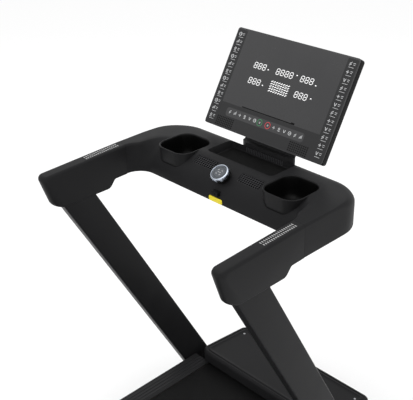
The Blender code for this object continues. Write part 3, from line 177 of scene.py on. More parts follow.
def embossed_belt():
    """Two-ply PVC running belt: matt, near black, with a small diamond emboss."""
    material, tree, shader, place = start_material("embossed_pvc_belt", 0.60, Specular_IOR_Level=0.10)
    ridges = []
    for turn in (45, -45):
        turned_place = add(tree, "ShaderNodeMapping", {"Vector": place, "Rotation": (0, 0, math.radians(turn))})
        # a real emboss is about 1.2 mm; drawn at 4 mm so that it shows
        ridges.append(add(tree, "ShaderNodeTexWave", {"Vector": turned_place.outputs["Vector"], "Scale": 80.0,
                                                      "Distortion": 0.0}, wave_profile="SIN"))
    crossed = {index: ridge.outputs["Fac"] for index, ridge in enumerate(ridges)}
    diamonds = add(tree, "ShaderNodeMath", crossed, operation="MULTIPLY")
    bump = add(tree, "ShaderNodeBump", {"Height": diamonds.outputs["Value"], "Distance": 0.0006, "Strength": 0.9})
    scuff = add(tree, "ShaderNodeTexNoise", {"Vector": place, "Scale": 6.0, "Detail": 5.0})
    base = add(tree, "ShaderNodeMix", {"Factor": scuff.outputs["Fac"], "A": linear("060606"),
                                       "B": linear("0c0c0c")}, data_type="RGBA")
    # painted highlight: the crests of the emboss are mixed toward a lighter grey, standing in for the light they
    # catch
    crest_highlight = add(tree, "ShaderNodeMix", {"Factor": diamonds.outputs["Value"], "A": base.outputs["Result"],
                                        "B": linear("1d1d1e")}, data_type="RGBA")
    tree.links.new(crest_highlight.outputs["Result"], shader.inputs["Base Color"])
    tree.links.new(bump.outputs["Normal"], shader.inputs["Normal"])
    return material


def lit_segments(name, code, strength):
    """Display segments: a white diffuser over LEDs."""
    material = plain(name, code, 0.4)
    shader = material.node_tree.nodes["Principled BSDF"]
    shader.inputs["Emission Color"].default_value = linear(code)
    shader.inputs["Emission Strength"].default_value = strength
    return material


# injection-moulded ABS with a spark-eroded grain of about 1 mm: soft satin charcoal with no sharp highlights
ABS_SHELL = moulded("textured_abs", "1d1d1e", "222223", 0.46, 1.1, 0.05, Specular_IOR_Level=0.06)
ABS_GRIP = moulded("grip_abs", "1b1b1c", "202021", 0.42, 1.3, 0.05, Specular_IOR_Level=0.08)
ABS_RAIL = moulded("rail_abs", "252526", "2c2c2d", 0.52, 1.4, 0.08, Specular_IOR_Level=0.08)
# polypropylene: darker and a little waxier than the ABS round it; the tubs' near-black is also painted shade for
# the inside of the cups
PP_TUB_SHADED = moulded("polypropylene_tub_painted_shade", "050505", "080808", 0.38, 1.2, 0.03, Specular_IOR_Level=0.09)
PP_BLACK = moulded("black_polypropylene", "0a0a0a", "0f0f0f", 0.50, 1.2, 0.05, Specular_IOR_Level=0.12)
# bars and ribs catch the light at their edges, so they look a shade lighter than the mouldings
GRILLE_ABS = moulded("grille_abs", "39393b", "404042", 0.46, 1.1, 0.04, Specular_IOR_Level=0.10)
# sprayed satin paint on sheet steel, finer than powder coat; its light grey is partly painted light, making up for
# the shade the display casts on the mast's sides
SATIN_PAINT_LIT = moulded("satin_grey_paint_painted_light", "38383a", "3f3f41", 0.45, 1.3, 0.04, Specular_IOR_Level=0.10)
# painted shade: a near-black sheet for the unlit depth behind a grille and in the display's rear vent slots
RECESS_SHADE = plain("painted_shade_recess", "020202", 0.9, Specular_IOR_Level=0.02)
# powder coat: a thin skin with an orange-peel ripple of about 1.5 mm
POWDER_COAT = moulded("black_powder_coat", "1a1a1b", "1f1f20", 0.38, 1.5, 0.05, Specular_IOR_Level=0.08)
# painted aluminium casting of the motors: sandy and slightly metallic
CAST_GREY = moulded("cast_aluminium_paint", "54565a", "64666a", 0.45, 2.0, 0.12, Metallic=0.4)
# moulded rubber: dull, with a slight mould texture
RUBBER = moulded("moulded_rubber", "141414", "1a1a1a", 0.82, 1.6, 0.10, Specular_IOR_Level=0.05)
# the running board is phenolic-faced plywood, brown and smooth; the circuit boards are glass-epoxy
PHENOLIC = moulded("phenolic_board", "2a221b", "352b22", 0.45, 3.0, 0.03)
FR4 = moulded("green_circuit_board", "123a22", "1a4a2c", 0.35, 2.0, 0.02)
# metals are lined by turning or drawing: cool zinc, brighter drawn rod, greyer ground rollers
ZINC = turned_metal("zinc_plated_steel", "b9bbbd", 0.34, 0.8, "X")
DRAWN_STEEL = turned_metal("drawn_steel_rod", "c2c3c5", 0.30, 0.8, "Y")
ROLLER_STEEL = turned_metal("ground_roller_steel", "a9abae", 0.26, 1.0, "X")
# clear-anodised aluminium ring, turned, faintly blue; its face is painted
ANODISED = turned_metal("anodised_ring", "b4bbc6", 0.22, 0.5, "Z")
KNOB_FACE = moulded("painted_knob_face", "3c4045", "454a50", 0.35, 0.8, 0.02)
PVC_BELT = embossed_belt()
# small gloss parts: a polycarbonate rocker and a vinyl plate
SIGNAL_RED = plain("red_polycarbonate", "8c1712", 0.30)
LABEL_YELLOW = moulded("yellow_vinyl", "e6d21c", "efdc26", 0.42, 1.5, 0.01)
# smoked acrylic front, printed on its back, in a fine-grained ABS case
SCREEN_SHEET = moulded("smoked_acrylic", "343435", "373738", 0.26, 9.0, 0.002, Specular_IOR_Level=0.30)
SCREEN_BAND = plain("printed_band", "272728", 0.32, Specular_IOR_Level=0.22)
SCREEN_PAD = plain("printed_key_strip", "3a3a3b", 0.32, Specular_IOR_Level=0.25)
DISPLAY_SHELL = moulded("display_case_abs", "0a0a0b", "0e0e0f", 0.50, 1.1, 0.05, Specular_IOR_Level=0.12)
# screen-print inks, light-emitting segments and foil contact pads; the near-black is painted shade in the speaker
# holes and the slot
SHADE_BLACK = plain("black_painted_shade", "030303", 0.5, Specular_IOR_Level=0.10)
LED_WHITE = lit_segments("white_led_segments", "f4f4f4", 0.35)
PRINT_GREY = plain("grey_print", "b5b6b7", 0.5)
TICK_SILVER = plain("grey_contact_pad", "a6a6a6", 0.45)
RING_GREEN = lit_segments("green_key_ring", "2f7d4c", 0.15)
RING_RED = lit_segments("red_key_ring", "c2303a", 0.15)


# ---------------------------------------------------------------- shapes
WELD = 0.000001     # points nearer than this are one, in metres


def piece(name, shape, material, body, angle=32, matrix=None):
    """Make a bmesh a finished piece: faces out, smooth with sharp edges, at the origin, on its body."""
    bmesh.ops.remove_doubles(shape, verts=shape.verts, dist=2 * WELD)
    bmesh.ops.recalc_face_normals(shape, faces=shape.faces)
    if matrix is not None:
        shape.transform(matrix)
    mesh = bpy.data.meshes.new(name)
    shape.to_mesh(mesh)
    shape.free()
    item = bpy.data.objects.new(name, mesh)
    bpy.context.scene.collection.objects.link(item)
    mesh.materials.append(material)
    mesh.shade_smooth()
    mesh.set_sharp_from_angle(angle=math.radians(angle))
    if body is not None:
        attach(item, body)
    return item


def rounded(corners, steps=6):
    """Corner points (x, y, radius) as a closed outline with each corner rounded."""
    outline = []
    count = len(corners)
    for index, (x, y, radius) in enumerate(corners):
        corner = Vector((x, y))
        if radius <= 0:
            outline.append(corner)
            continue
        to_last = (Vector(corners[index - 1][:2]) - corner).normalized()
        to_next = (Vector(corners[(index + 1) % count][:2]) - corner).normalized()
        half_angle = to_last.angle(to_next) / 2
        reach = radius / math.tan(half_angle)
        centre = corner + (to_last + to_next).normalized() * (radius / math.sin(half_angle))
        first = corner + to_last * reach - centre
        sweep = first.angle_signed(corner + to_next * reach - centre)
        for step in range(steps + 1):
            spoke = first.copy()
            spoke.rotate(Matrix.Rotation(-sweep * step / steps, 2))
            outline.append(centre + spoke)
    return outline


def four_corners(low, high, radius):
    """The corners (x, y, radius) of the rectangle between two opposite corners, anticlockwise."""
    (left, near), (right, far) = low, high
    return [(left, near, radius), (right, near, radius), (right, far, radius), (left, far, radius)]


def rectangle(x, y, width, length, radius, steps=6):
    """A rounded rectangle about a centre, as a closed outline."""
    half_w, half_l = width / 2, length / 2
    radius = min(radius, half_w * 0.98, half_l * 0.98)
    return rounded(four_corners((x - half_w, y - half_l), (x + half_w, y + half_l), radius), steps)


def inset(corners, distance):
    """Move the sides of an anticlockwise outline of (x, y, radius) corners inwards."""
    moved = []
    count = len(corners)
    for index, (x, y, radius) in enumerate(corners):
        corner = Vector((x, y))
        before = (corner - Vector(corners[index - 1][:2])).normalized()
        after = (Vector(corners[(index + 1) % count][:2]) - corner).normalized()
        inward = Vector((-before.y - after.y, before.x + after.x)).normalized()
        reach = distance / max(0.2, math.cos(before.angle(after) / 2))
        change = -distance if before.cross(after) > 0 else distance
        moved.append((*(corner + inward * reach), max(radius + change, radius * 0.2) if radius else 0))
    return moved


def skin(rings, closed_ends=True):
    """A bmesh skinned over rings of the same number of points."""
    shape = bmesh.new()
    rows = [[shape.verts.new(point) for point in ring] for ring in rings]
    count = len(rows[0])
    for near, far in zip(rows, rows[1:]):
        for index in range(count):
            following = (index + 1) % count
            shape.faces.new((near[index], near[following], far[following], far[index]))
    if closed_ends:
        shape.faces.new(rows[0])
        shape.faces.new(rows[-1])
    return shape


def prism(outline, low, high):
    """A closed upright prism on an outline."""
    return skin([[(p.x, p.y, level) for p in outline] for level in (low, high)])


ROLL_STEPS = 5      # facets across a plate's rolled edge


def rolled_plate(corners, low, high, edge, axis):
    """A plate whose two faces roll into its sides; it faces along Y or Z, with corners (x, z) or (x, y)."""
    rings = []
    for face, inward in ((low, 1), (high, -1)):
        near = []
        for step in range(ROLL_STEPS + 1):
            angle = math.pi / 2 * step / ROLL_STEPS
            level = face + inward * edge * (1 - math.cos(angle))
            outline = rounded(inset(corners, edge * (1 - math.sin(angle))))
            near.append([(p.x, level, p.y) if axis == "Y" else (p.x, p.y, level) for p in outline])
        rings += near if inward > 0 else near[::-1]
    return skin(rings)


def block(low, high, edge=0.0):
    """A box between two corners, with bevelled edges where a size is given for them."""
    shape = bmesh.new()
    bmesh.ops.create_cube(shape, size=1.0)
    bmesh.ops.scale(shape, vec=Vector(high) - Vector(low), verts=shape.verts)
    bmesh.ops.translate(shape, vec=(Vector(high) + Vector(low)) / 2, verts=shape.verts)
    if edge:
        bmesh.ops.bevel(shape, geom=shape.edges[:], offset=edge, segments=2, profile=0.5, affect="EDGES")
    return shape


def joined(shapes):
    """Several bmeshes as one; they are freed."""
    whole = bmesh.new()
    for shape in shapes:
        mesh = bpy.data.meshes.new("joined")
        shape.to_mesh(mesh)
        shape.free()
        whole.from_mesh(mesh)
        bpy.data.meshes.remove(mesh)
    return whole


def lathe(profile, steps):
    """Turn a closed profile of (radius, height) points about Z; points on the axis close it."""
    made = bmesh.new()
    rows = []
    for step in range(steps):
        angle = 2 * math.pi * step / steps
        rows.append([made.verts.new((radius * math.cos(angle), radius * math.sin(angle), height))
                     for radius, height in profile])
    for index in range(steps):
        near, far = rows[index], rows[(index + 1) % steps]
        for first in range(len(profile) - 1):
            made.faces.new((near[first], far[first], far[first + 1], near[first + 1]))
    bmesh.ops.remove_doubles(made, verts=made.verts, dist=WELD)
    bmesh.ops.dissolve_degenerate(made, dist=WELD, edges=made.edges)
    return made


def evenly(outline, count):
    """The same number of evenly spaced points round any closed outline."""
    closed = outline + [outline[0]]
    lengths = [0.0]
    for near, far in zip(closed, closed[1:]):
        lengths.append(lengths[-1] + (far - near).length)
    points, index = [], 0
    for step in range(count):
        target = lengths[-1] * step / count
        while lengths[index + 1] < target:
            index += 1
        part = (target - lengths[index]) / max(1e-9, lengths[index + 1] - lengths[index])
        points.append(closed[index].lerp(closed[index + 1], part))
    return points


def eased(share):
    """A share from 0 to 1 that starts and ends gently."""
    return share * share * (3 - 2 * share)


def carve(item, tool_shape):
    """Cut a closed bmesh out of a piece with an exact Boolean; the piece's modifiers are applied."""
    bmesh.ops.recalc_face_normals(tool_shape, faces=tool_shape.faces)
    mesh = bpy.data.meshes.new("tool")
    tool_shape.to_mesh(mesh)
    tool_shape.free()
    tool = bpy.data.objects.new("tool", mesh)
    bpy.context.scene.collection.objects.link(tool)
    change = item.modifiers.new("carve", "BOOLEAN")
    change.operation = "DIFFERENCE"
    change.object = tool
    bpy.context.view_layer.update()
    result = bpy.data.meshes.new_from_object(item.evaluated_get(bpy.context.evaluated_depsgraph_get()))
    item.modifiers.clear()
    old = item.data
    item.data = result
    bpy.data.meshes.remove(old)
    bpy.data.objects.remove(tool, do_unlink=True)
    bpy.data.meshes.remove(mesh)


# ---------------------------------------------------------------- repeats, as Geometry Nodes
def repeat_tree(name, from_grid):
    """A tree that puts a unit on a grid, or on the points it is given, and realises the copies."""
    tree = bpy.data.node_groups.new(name, "GeometryNodeTree")
    sockets = [("Geometry", "NodeSocketGeometry"), ("Unit", "NodeSocketObject"), ("Turn", "NodeSocketRotation"),
               ("Finish", "NodeSocketMaterial")]
    if from_grid:
        sockets += [("Columns", "NodeSocketInt"), ("Rows", "NodeSocketInt"), ("Width", "NodeSocketFloat"),
                    ("Length", "NodeSocketFloat")]
    for label, kind in sockets:
        tree.interface.new_socket(name=label, in_out="INPUT", socket_type=kind)
    tree.interface.new_socket(name="Geometry", in_out="OUTPUT", socket_type="NodeSocketGeometry")
    given = add(tree, "NodeGroupInput").outputs
    spots = given["Geometry"]
    if from_grid:
        spots = add(tree, "GeometryNodeMeshGrid", {"Size X": given["Width"], "Size Y": given["Length"],
                                                   "Vertices X": given["Columns"],
                                                   "Vertices Y": given["Rows"]}).outputs["Mesh"]
    unit = add(tree, "GeometryNodeObjectInfo", {"Object": given["Unit"], "As Instance": True})
    copies = add(tree, "GeometryNodeInstanceOnPoints", {"Points": spots, "Instance": unit.outputs["Geometry"],
                                                        "Rotation": given["Turn"]})
    real = add(tree, "GeometryNodeRealizeInstances", {"Geometry": copies.outputs["Instances"]})
    coated = add(tree, "GeometryNodeSetMaterial", {"Geometry": real.outputs["Geometry"],
                                                   "Material": given["Finish"]})
    add(tree, "NodeGroupOutput", {"Geometry": coated.outputs["Geometry"]})
    return tree


GRID_OF_UNITS = repeat_tree("grid_of_units", True)
UNITS_ON_POINTS = repeat_tree("units_on_points", False)


def repeated(name, unit_shape, material, body, points=None, grid=None, turn=(0, 0, 0), matrix=None):
    """Copies of a unit at points, or on a grid of (columns, rows, width, length), as one plain mesh."""
    unit_mesh = bpy.data.meshes.new("unit")
    bmesh.ops.recalc_face_normals(unit_shape, faces=unit_shape.faces)
    unit_shape.to_mesh(unit_mesh)
    unit_shape.free()
    unit = bpy.data.objects.new("unit", unit_mesh)
    spots = bpy.data.meshes.new("spots")
    spots.from_pydata([tuple(point) for point in points or [(0, 0, 0)]], [], [])
    holder = bpy.data.objects.new("holder", spots)
    bpy.context.scene.collection.objects.link(unit)
    bpy.context.scene.collection.objects.link(holder)
    tree = GRID_OF_UNITS if grid else UNITS_ON_POINTS
    maker = holder.modifiers.new("maker", "NODES")
    maker.node_group = tree
    values = {"Unit": unit, "Turn": turn, "Finish": material}
    if grid:
        values.update(zip(("Columns", "Rows", "Width", "Length"), grid))
    for socket in tree.interface.items_tree:
        if socket.name in values:
            maker[socket.identifier] = values[socket.name]
    bpy.context.view_layer.update()
    mesh = bpy.data.meshes.new_from_object(holder.evaluated_get(bpy.context.evaluated_depsgraph_get()))
    holder.modifiers.clear()
    mesh.name = name
    if matrix is not None:
        mesh.transform(matrix)
    for spare in (holder, unit):
        bpy.data.objects.remove(spare, do_unlink=True)
    item = bpy.data.objects.new(name, mesh)
    bpy.context.scene.collection.objects.link(item)
    mesh.shade_smooth()
    mesh.set_sharp_from_angle(angle=math.radians(32))
    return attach(item, body)


def stands_for(item, slot, *nodes):
    """Hide the frame's nodes that a piece stands for; the piece and the slot are not used."""
    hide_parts(*nodes)


# ---------------------------------------------------------------- console bridge
EDGE = 0.009              # roll of the mouldings' long upper edges
LOWER_EDGE = 0.003        # and of their lower edges
CORNER_ROLL = (0.043, 0.038)    # the outer edge rolls off more round the front corners,
FRONT_ROLL = (0.047, 0.030)     # and along the front; across and down
CORNER_RADIUS = 0.115     # the bridge's front corners, in plan
INNER_RADIUS = BRIDGE_REAR - SEAM_Y


def bar_profile(width):
    """Half of a section across an arm: (distance from the inner wall, height) up the wall and over the top."""
    foot = BAR_BOTTOM + 0.012
    points = [(0.0, foot + (CONSOLE_TOP - EDGE - foot) * share) for share in (0.0, 0.2, 0.4, 0.6, 0.8, 0.93)]
    for step in range(7):
        angle = math.pi / 2 * step / 6
        points.append((EDGE * (1 - math.cos(angle)), CONSOLE_TOP - EDGE * (1 - math.sin(angle))))
    return points + [(width * share, CONSOLE_TOP) for share in (0.30, 0.45)]


# the sloping face in section: (distance from the inner wall, drop below the top)
FACE_CURVE = ((0.0, -0.0893), (0.0035, -0.076), (0.009, -0.063), (0.0155, -0.0505), (0.023, -0.040),
              (0.031, -0.0312), (0.0395, -0.0235), (0.049, -0.0163), (0.0585, -0.0107), (0.068, -0.0065),
              (0.076, -0.0035), (0.083, -0.0015), (0.090, -0.0003), (0.098, 0.0), (0.112, 0.0))


def console_section(inner, outer, share, roll):
    """Points of one section: up the user's side, over the top, down the outside and back underneath."""
    run = Vector((outer[0] - inner[0], outer[1] - inner[1]))
    width = run.length
    run = run / width
    rise = eased(share)
    line = []
    for (near, height), (face_near, face_drop) in zip(bar_profile(width), FACE_CURVE):
        line.append((near + (face_near - near) * rise, height + (CONSOLE_TOP + face_drop - height) * rise))
    across, down = roll
    shoulder = CONSOLE_TOP - down
    line += [(line[-1][0] + (width - across - line[-1][0]) * part, CONSOLE_TOP) for part in (0.25, 0.5, 0.75)]
    for step in range(13):
        angle = math.pi / 2 * (1 - step / 12)
        line.append((width - across + across * math.cos(angle), shoulder + down * math.sin(angle)))
    line += [(width, shoulder + (BAR_BOTTOM - shoulder) * part) for part in (0.35, 0.6)]
    for step in range(5):
        angle = math.pi / 2 * step / 4
        line.append((width - LOWER_EDGE + LOWER_EDGE * math.cos(angle),
                     BAR_BOTTOM + LOWER_EDGE * (1 - math.sin(angle))))
    underside, inner_edge = BAR_BOTTOM + 0.0008, 0.002
    line.append((width * 0.5, underside))
    for step in range(4):
        angle = math.pi / 2 * step / 3
        line.append((inner_edge * (1 - math.sin(angle)), underside + inner_edge * (1 - math.cos(angle))))
    return [(inner[0] + run.x * distance, inner[1] + run.y * distance, height) for distance, height in line]


def console_path():
    """Stations (inner point, outer point, face's share, outer roll) from the right seam round to the left."""
    stations = []
    straight = CONSOLE_FRONT - CORNER_RADIUS - SEAM_Y
    arc = math.pi / 2 * CORNER_RADIUS
    corner_steps, bridge_steps = 22, 26
    for step in range(corner_steps + 1):
        part = step / corner_steps
        angle = math.pi / 2 * part
        inner = (GRIP_X0 - INNER_RADIUS * (1 - math.cos(angle)), SEAM_Y + INNER_RADIUS * math.sin(angle))
        along = (straight + arc) * part
        if along < straight:
            outer = (GRIP_X1, SEAM_Y + along)
        else:
            turn = (along - straight) / CORNER_RADIUS
            outer = (GRIP_X1 - CORNER_RADIUS * (1 - math.cos(turn)),
                     CONSOLE_FRONT - CORNER_RADIUS * (1 - math.sin(turn)))
        soft = eased(min(1.0, max(0.0, (part - 0.30) / 0.55)))
        roll = tuple(EDGE + (wide - EDGE) * soft for wide in CORNER_ROLL)
        stations.append((inner, outer, max(0.0, (part - 0.45) / 0.55), roll))
    inner_x, outer_x = GRIP_X0 - INNER_RADIUS, GRIP_X1 - CORNER_RADIUS
    for step in range(1, bridge_steps + 1):
        part = step / bridge_steps
        settle = min(1.0, part * 2)
        roll = tuple(corner + (front - corner) * settle for corner, front in zip(CORNER_ROLL, FRONT_ROLL))
        stations.append(((inner_x * (1 - part), BRIDGE_REAR), (outer_x * (1 - part), CONSOLE_FRONT), 1.0, roll))
    mirrored = [((-inner[0], inner[1]), (-outer[0], outer[1]), share, roll)
                for inner, outer, share, roll in stations[-2::-1]]
    return stations + mirrored


def grille_place(side):
    """Where a grille lies, tipped to follow the sloping face."""
    return Matrix.Translation((side * VENT.x, VENT.y, VENT.z)) @ Matrix.Rotation(VENT_TIP, 4, "X")


def console_shell():
    """The bridge moulding, with its openings for the cups, grilles, tray, knob and stop key."""
    sections = [console_section(*station) for station in console_path()]
    shell = piece("console_shell", skin(sections), ABS_SHELL, None)
    for _, side in SIDES:
        hole = rectangle(side * CUP.x, CUP.y, CUP_WIDTH - GAP, CUP_LENGTH - GAP, CUP_RADIUS, 10)
        carve(shell, prism(hole, CUP_FLOOR + 0.004, CONSOLE_TOP + 0.03))
        half_w, half_l = GRILLE_WIDTH / 2 + 0.001, GRILLE_LENGTH / 2 + 0.001
        pocket = block((-half_w, -half_l, -0.014), (half_w, half_l, 0.03), 0.001)
        pocket.transform(grille_place(side))
        carve(shell, pocket)
    middle_y = (TRAY_LOW.y + TRAY_HIGH.y) / 2
    width, length = TRAY_HIGH.x - TRAY_LOW.x + 0.006, TRAY_HIGH.y - TRAY_LOW.y + 0.006
    # height, how far the outline grows, corner radius
    levels = ((TRAY_LOW.z - 0.0003, -0.010, 0.010), (TRAY_LOW.z + 0.004, -0.003, 0.012),
              (CONSOLE_TOP - 0.004, 0.0, 0.012), (CONSOLE_TOP - 0.001, 0.0025, 0.014),
              (CONSOLE_TOP + 0.02, 0.004, 0.015))
    basin = []
    for level, grow, radius in levels:
        outline = rectangle(0, middle_y, width + 2 * grow, length + 2 * grow, radius, 8)
        basin.append([(p.x, p.y, level) for p in outline])
    carve(shell, skin(basin))
    well = lathe([(0, -0.002), (KNOB_RADIUS - 0.001, -0.002), (KNOB_RADIUS + 0.004, 0.060), (0, 0.060)], 40)
    well.transform(ON_KNOB)
    carve(shell, well)
    carve(shell, block((KEY_LOW.x - GAP, KEY_LOW.y - 0.02, KEY_LOW.z - GAP),
                       (KEY_HIGH.x + GAP, KEY_HIGH.y + GAP, KEY_HIGH.z + GAP)))
    shell.data.shade_smooth()
    shell.data.set_sharp_from_angle(angle=math.radians(32))
    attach(shell, "base")
    stands_for(shell, "black_plastic", "console_housing")


def cup_tubs():
    """Tubs with a raised lip; they stand out of the sloped face as rounded boxes."""
    depth = CUP_RIM - CUP_FLOOR
    # how far the outline grows, height from the rim: up the outside, over the lip and down the inside
    levels = [(-0.060, -depth), (-0.030, -depth), (-0.018, -depth + 0.003), (-0.009, -depth + 0.009),
              (-0.0035, -depth + 0.020), (-0.0005, -0.034), (0.0018, -0.010), (0.0026, -0.0030),
              (0.0030, -0.0004), (0.0030, 0.0009), (0.0020, 0.0018), (0.0004, 0.0020), (-0.0014, 0.0012),
              (-0.0026, -0.0008), (-0.0034, -0.0040), (-0.0050, -0.014), (-0.0070, -0.040),
              (-0.0100, -depth + 0.020), (-0.0165, -depth + 0.010), (-0.030, -depth + 0.0055),
              (-0.060, -depth + 0.0045)]
    for label, side in SIDES:
        rings = []
        for grow, height in levels:
            outline = rectangle(side * CUP.x, CUP.y, CUP_WIDTH + 2 * grow, CUP_LENGTH + 2 * grow,
                                max(0.012, CUP_RADIUS + grow), 12)
            rings.append([(p.x, p.y, CUP_RIM + height) for p in outline])
        tub = piece("cup_tub_" + label, skin(rings), PP_TUB_SHADED, "base", 40)
        stands_for(tub, "dark_plastic", "cup_liner_" + label)
        # the lip and the outside have the console's grain; the inside walls and floor keep the near-black, painted
        # shade for the depth of the cups
        tub.data.materials.append(ABS_GRIP)
        for face in tub.data.polygons:
            middle = face.center
            outward = (face.normal.x * (middle.x - side * CUP.x) + face.normal.y * (middle.y - CUP.y)) > 0
            if outward or middle.z > CUP_RIM - 0.0004 or middle.z < CUP_FLOOR + 0.004:
                face.material_index = 1


def vents():
    """Moulded grilles: a frame and crossing bars with square holes, over a dark pocket."""
    half_w, half_l, half_bar = GRILLE_WIDTH / 2, GRILLE_LENGTH / 2, 0.0006
    for label, side in SIDES:
        spot = grille_place(side)
        bars = repeated("vent_bars_across_" + label,
                        block((-half_bar, -half_l, -0.001), (half_bar, half_l, 0.0012)),
                        GRILLE_ABS, "base", grid=(11, 1, GRILLE_WIDTH, 0.0), matrix=spot)
        long_bars = repeated("vent_bars_along_" + label,
                             block((-half_w, -half_bar, -0.001), (half_w, half_bar, 0.0010)),
                             GRILLE_ABS, "base", grid=(1, 6, 0.0, GRILLE_LENGTH), matrix=spot)
        # painted shade: a near-black plate at the foot of the pocket stands for the shade behind the grille
        back = piece("vent_recess_" + label, block((-half_w, -half_l, -0.0135), (half_w, half_l, -0.0125)),
                     RECESS_SHADE, "base", matrix=spot)
        outer = rectangle(0, 0, GRILLE_WIDTH + 0.0045, GRILLE_LENGTH + 0.0035, 0.0015, 4)
        inner = rectangle(0, 0, GRILLE_WIDTH + 0.0005, GRILLE_LENGTH, 0.0010, 4)
        section = ((outer, -0.0015), (outer, 0.0010), (inner, 0.0010), (inner, -0.0015), (outer, -0.0015))
        rings = [[(p.x, p.y, level) for p in outline] for outline, level in section]
        rim = piece("vent_frame_" + label, skin(rings, False), PP_BLACK, "base", matrix=spot)
        stands_for(bars, "dark_plastic", "vent_grille_" + label)


def tray():
    """Phone rest: a ribbed mat and a ribbed wall that keeps the phone upright."""
    low, high = TRAY_LOW, TRAY_HIGH
    mat = piece("tray_pad", rolled_plate(four_corners(low.xy, high.xy, 0.006), low.z, high.z, 0.0006, "Z"),
                RUBBER, "base")
    stands_for(mat, "rubber", "tray_mat")
    half_l = (high.y - low.y - 0.014) / 2
    ribs = repeated("tray_pad_ribs", block((-0.0007, -half_l, 0), (0.0007, half_l, 0.0008), 0.0003),
                    RUBBER, "base", grid=(38, 1, high.x * 2 - 0.016, 0.0),
                    matrix=Matrix.Translation((0, (low.y + high.y) / 2, high.z)))
    rib_height = CONSOLE_TOP - high.z - 0.011
    wall_ribs = repeated("tray_wall_ribs", block((-0.0016, -0.0026, 0), (0.0016, 0.002, rib_height), 0.0006),
                         GRILLE_ABS, "base", grid=(22, 1, 0.156, 0.0),
                         matrix=Matrix.Translation((0, high.y + 0.0025, high.z)))


def knob():
    """Turning ring round a push button, on a dark pod that leans to the user."""
    radius, button_radius = KNOB_RADIUS, 0.0195
    ring = [(0.0200, 0.0190), (radius - 0.0012, 0.0190), (radius, 0.0202), (radius, 0.0285),
            (radius - 0.0006, 0.0302), (radius - 0.0020, 0.0314), (radius - 0.0042, 0.0318),
            (radius - 0.0050, 0.0308), (radius - 0.0053, 0.0290), (0.0200, 0.0285), (0.0200, 0.0190)]
    item = piece("knob_ring", lathe(ring, 72), ANODISED, "knob", matrix=ON_KNOB)
    stands_for(item, "knob_silver", "control_knob")
    inner = [(0.0202, 0.0282), (0.0256, 0.0284), (0.0254, 0.0303), (0.0228, 0.0312), (0.0202, 0.0306),
             (0.0202, 0.0282)]
    piece("knob_inner_band", lathe(inner, 64), KNOB_FACE, "knob", matrix=ON_KNOB)
    turns = [2 * math.pi * index / 72 for index in range(72)]
    ridge = repeated("knob_knurl", block((-0.0003, -0.0005, 0.0212), (0.0003, 0.0005, 0.0278)), ANODISED,
                     "knob", points=[(radius * math.cos(a), radius * math.sin(a), 0) for a in turns],
                     matrix=ON_KNOB)
    face = [(0, 0.0215), (button_radius - 0.0003, 0.0215), (button_radius, 0.0218), (button_radius, 0.0302),
            (button_radius - 0.0005, 0.0310), (0.0178, 0.0314), (0.010, 0.0309), (0, 0.0308)]
    button = piece("knob_push_face", lathe(face, 56), KNOB_FACE, "knob_button", matrix=ON_KNOB)
    stands_for(button, "dark_plastic", "knob_button")
    marks = []
    for turn in range(4):
        dash = block((0.0095, -0.0030, 0.0306), (0.0110, 0.0030, 0.0316))
        dash.transform(Matrix.Rotation(math.radians(45 + 90 * turn), 4, "Z"))
        marks.append(dash)
    for across in (-0.0035, 0.0035):
        marks.append(block((across - 0.0022, -0.0009, 0.0304), (across + 0.0022, 0.0009, 0.0314)))
    piece("knob_face_marks", joined(marks), PRINT_GREY, "knob_button", matrix=ON_KNOB)
    pod = [(0, 0.0), (radius - 0.0075, 0.0), (radius - 0.0055, 0.006), (radius - 0.0035, 0.0145),
           (radius - 0.0030, 0.0178), (radius - 0.0045, 0.0186), (0, 0.0186)]
    collar = piece("knob_pod", lathe(pod, 56), PP_BLACK, "base", matrix=ON_KNOB)
    stands_for(collar, "dark_plastic", "knob_collar")


def key_and_label():
    """The stop key with the eye for its tether, and the plain yellow plate below it."""
    body = rolled_plate(four_corners(KEY_LOW.xz, KEY_HIGH.xz, 0.003), KEY_LOW.y, KEY_HIGH.y, 0.0012, "Y")
    stands_for(piece("stop_key", body, PP_BLACK, "safety_key"), "dark_plastic", "safety_key")
    eye = lathe([(0.0030, -0.0006), (0.0042, 0.0), (0.0030, 0.0006), (0.0018, 0.0), (0.0030, -0.0006)], 24)
    eye.transform(Matrix.Translation((0, KEY_LOW.y - 0.0010, (KEY_LOW.z + KEY_HIGH.z) / 2))
                  @ Matrix.Rotation(math.pi / 2, 4, "X"))
    piece("stop_key_eye", eye, PP_BLACK, "safety_key")
    plate = rolled_plate(four_corners(LABEL_LOW.xz, LABEL_HIGH.xz, 0.0055), LABEL_LOW.y, LABEL_HIGH.y + 0.0004,
                         0.0004, "Y")
    stands_for(piece("rating_plate", plate, LABEL_YELLOW, "base"), "label_yellow", "label_plate")


# ---------------------------------------------------------------- handrails and uprights
END_BULGE = (0.017, 0.038)      # how far the crowned end stands behind its side edges: top, bottom


GRIP_HALF = (GRIP_X1 - GRIP_X0) / 2
GRIP_SLOPE = (CONSOLE_TOP - GRIP_TOP) / (SEAM_Y - GRIP_REAR)
GRIP_DEPTHS = (0.0, 0.0003, 0.0010, 0.0020, 0.0033, 0.0048, 0.0065, 0.0085, 0.0115, 0.0150, 0.0190, GRIP_HALF)
PAST_SEAM = 0.020               # the grip is made this much too long, then cut square at the seam


def still_to_roll(size, depth):
    """How far a rolled edge of a size is still from its face, at a depth in from the side."""
    return size * (1 - math.sqrt(max(0.0, 1 - max(0.0, 1 - depth / size) ** 2)))


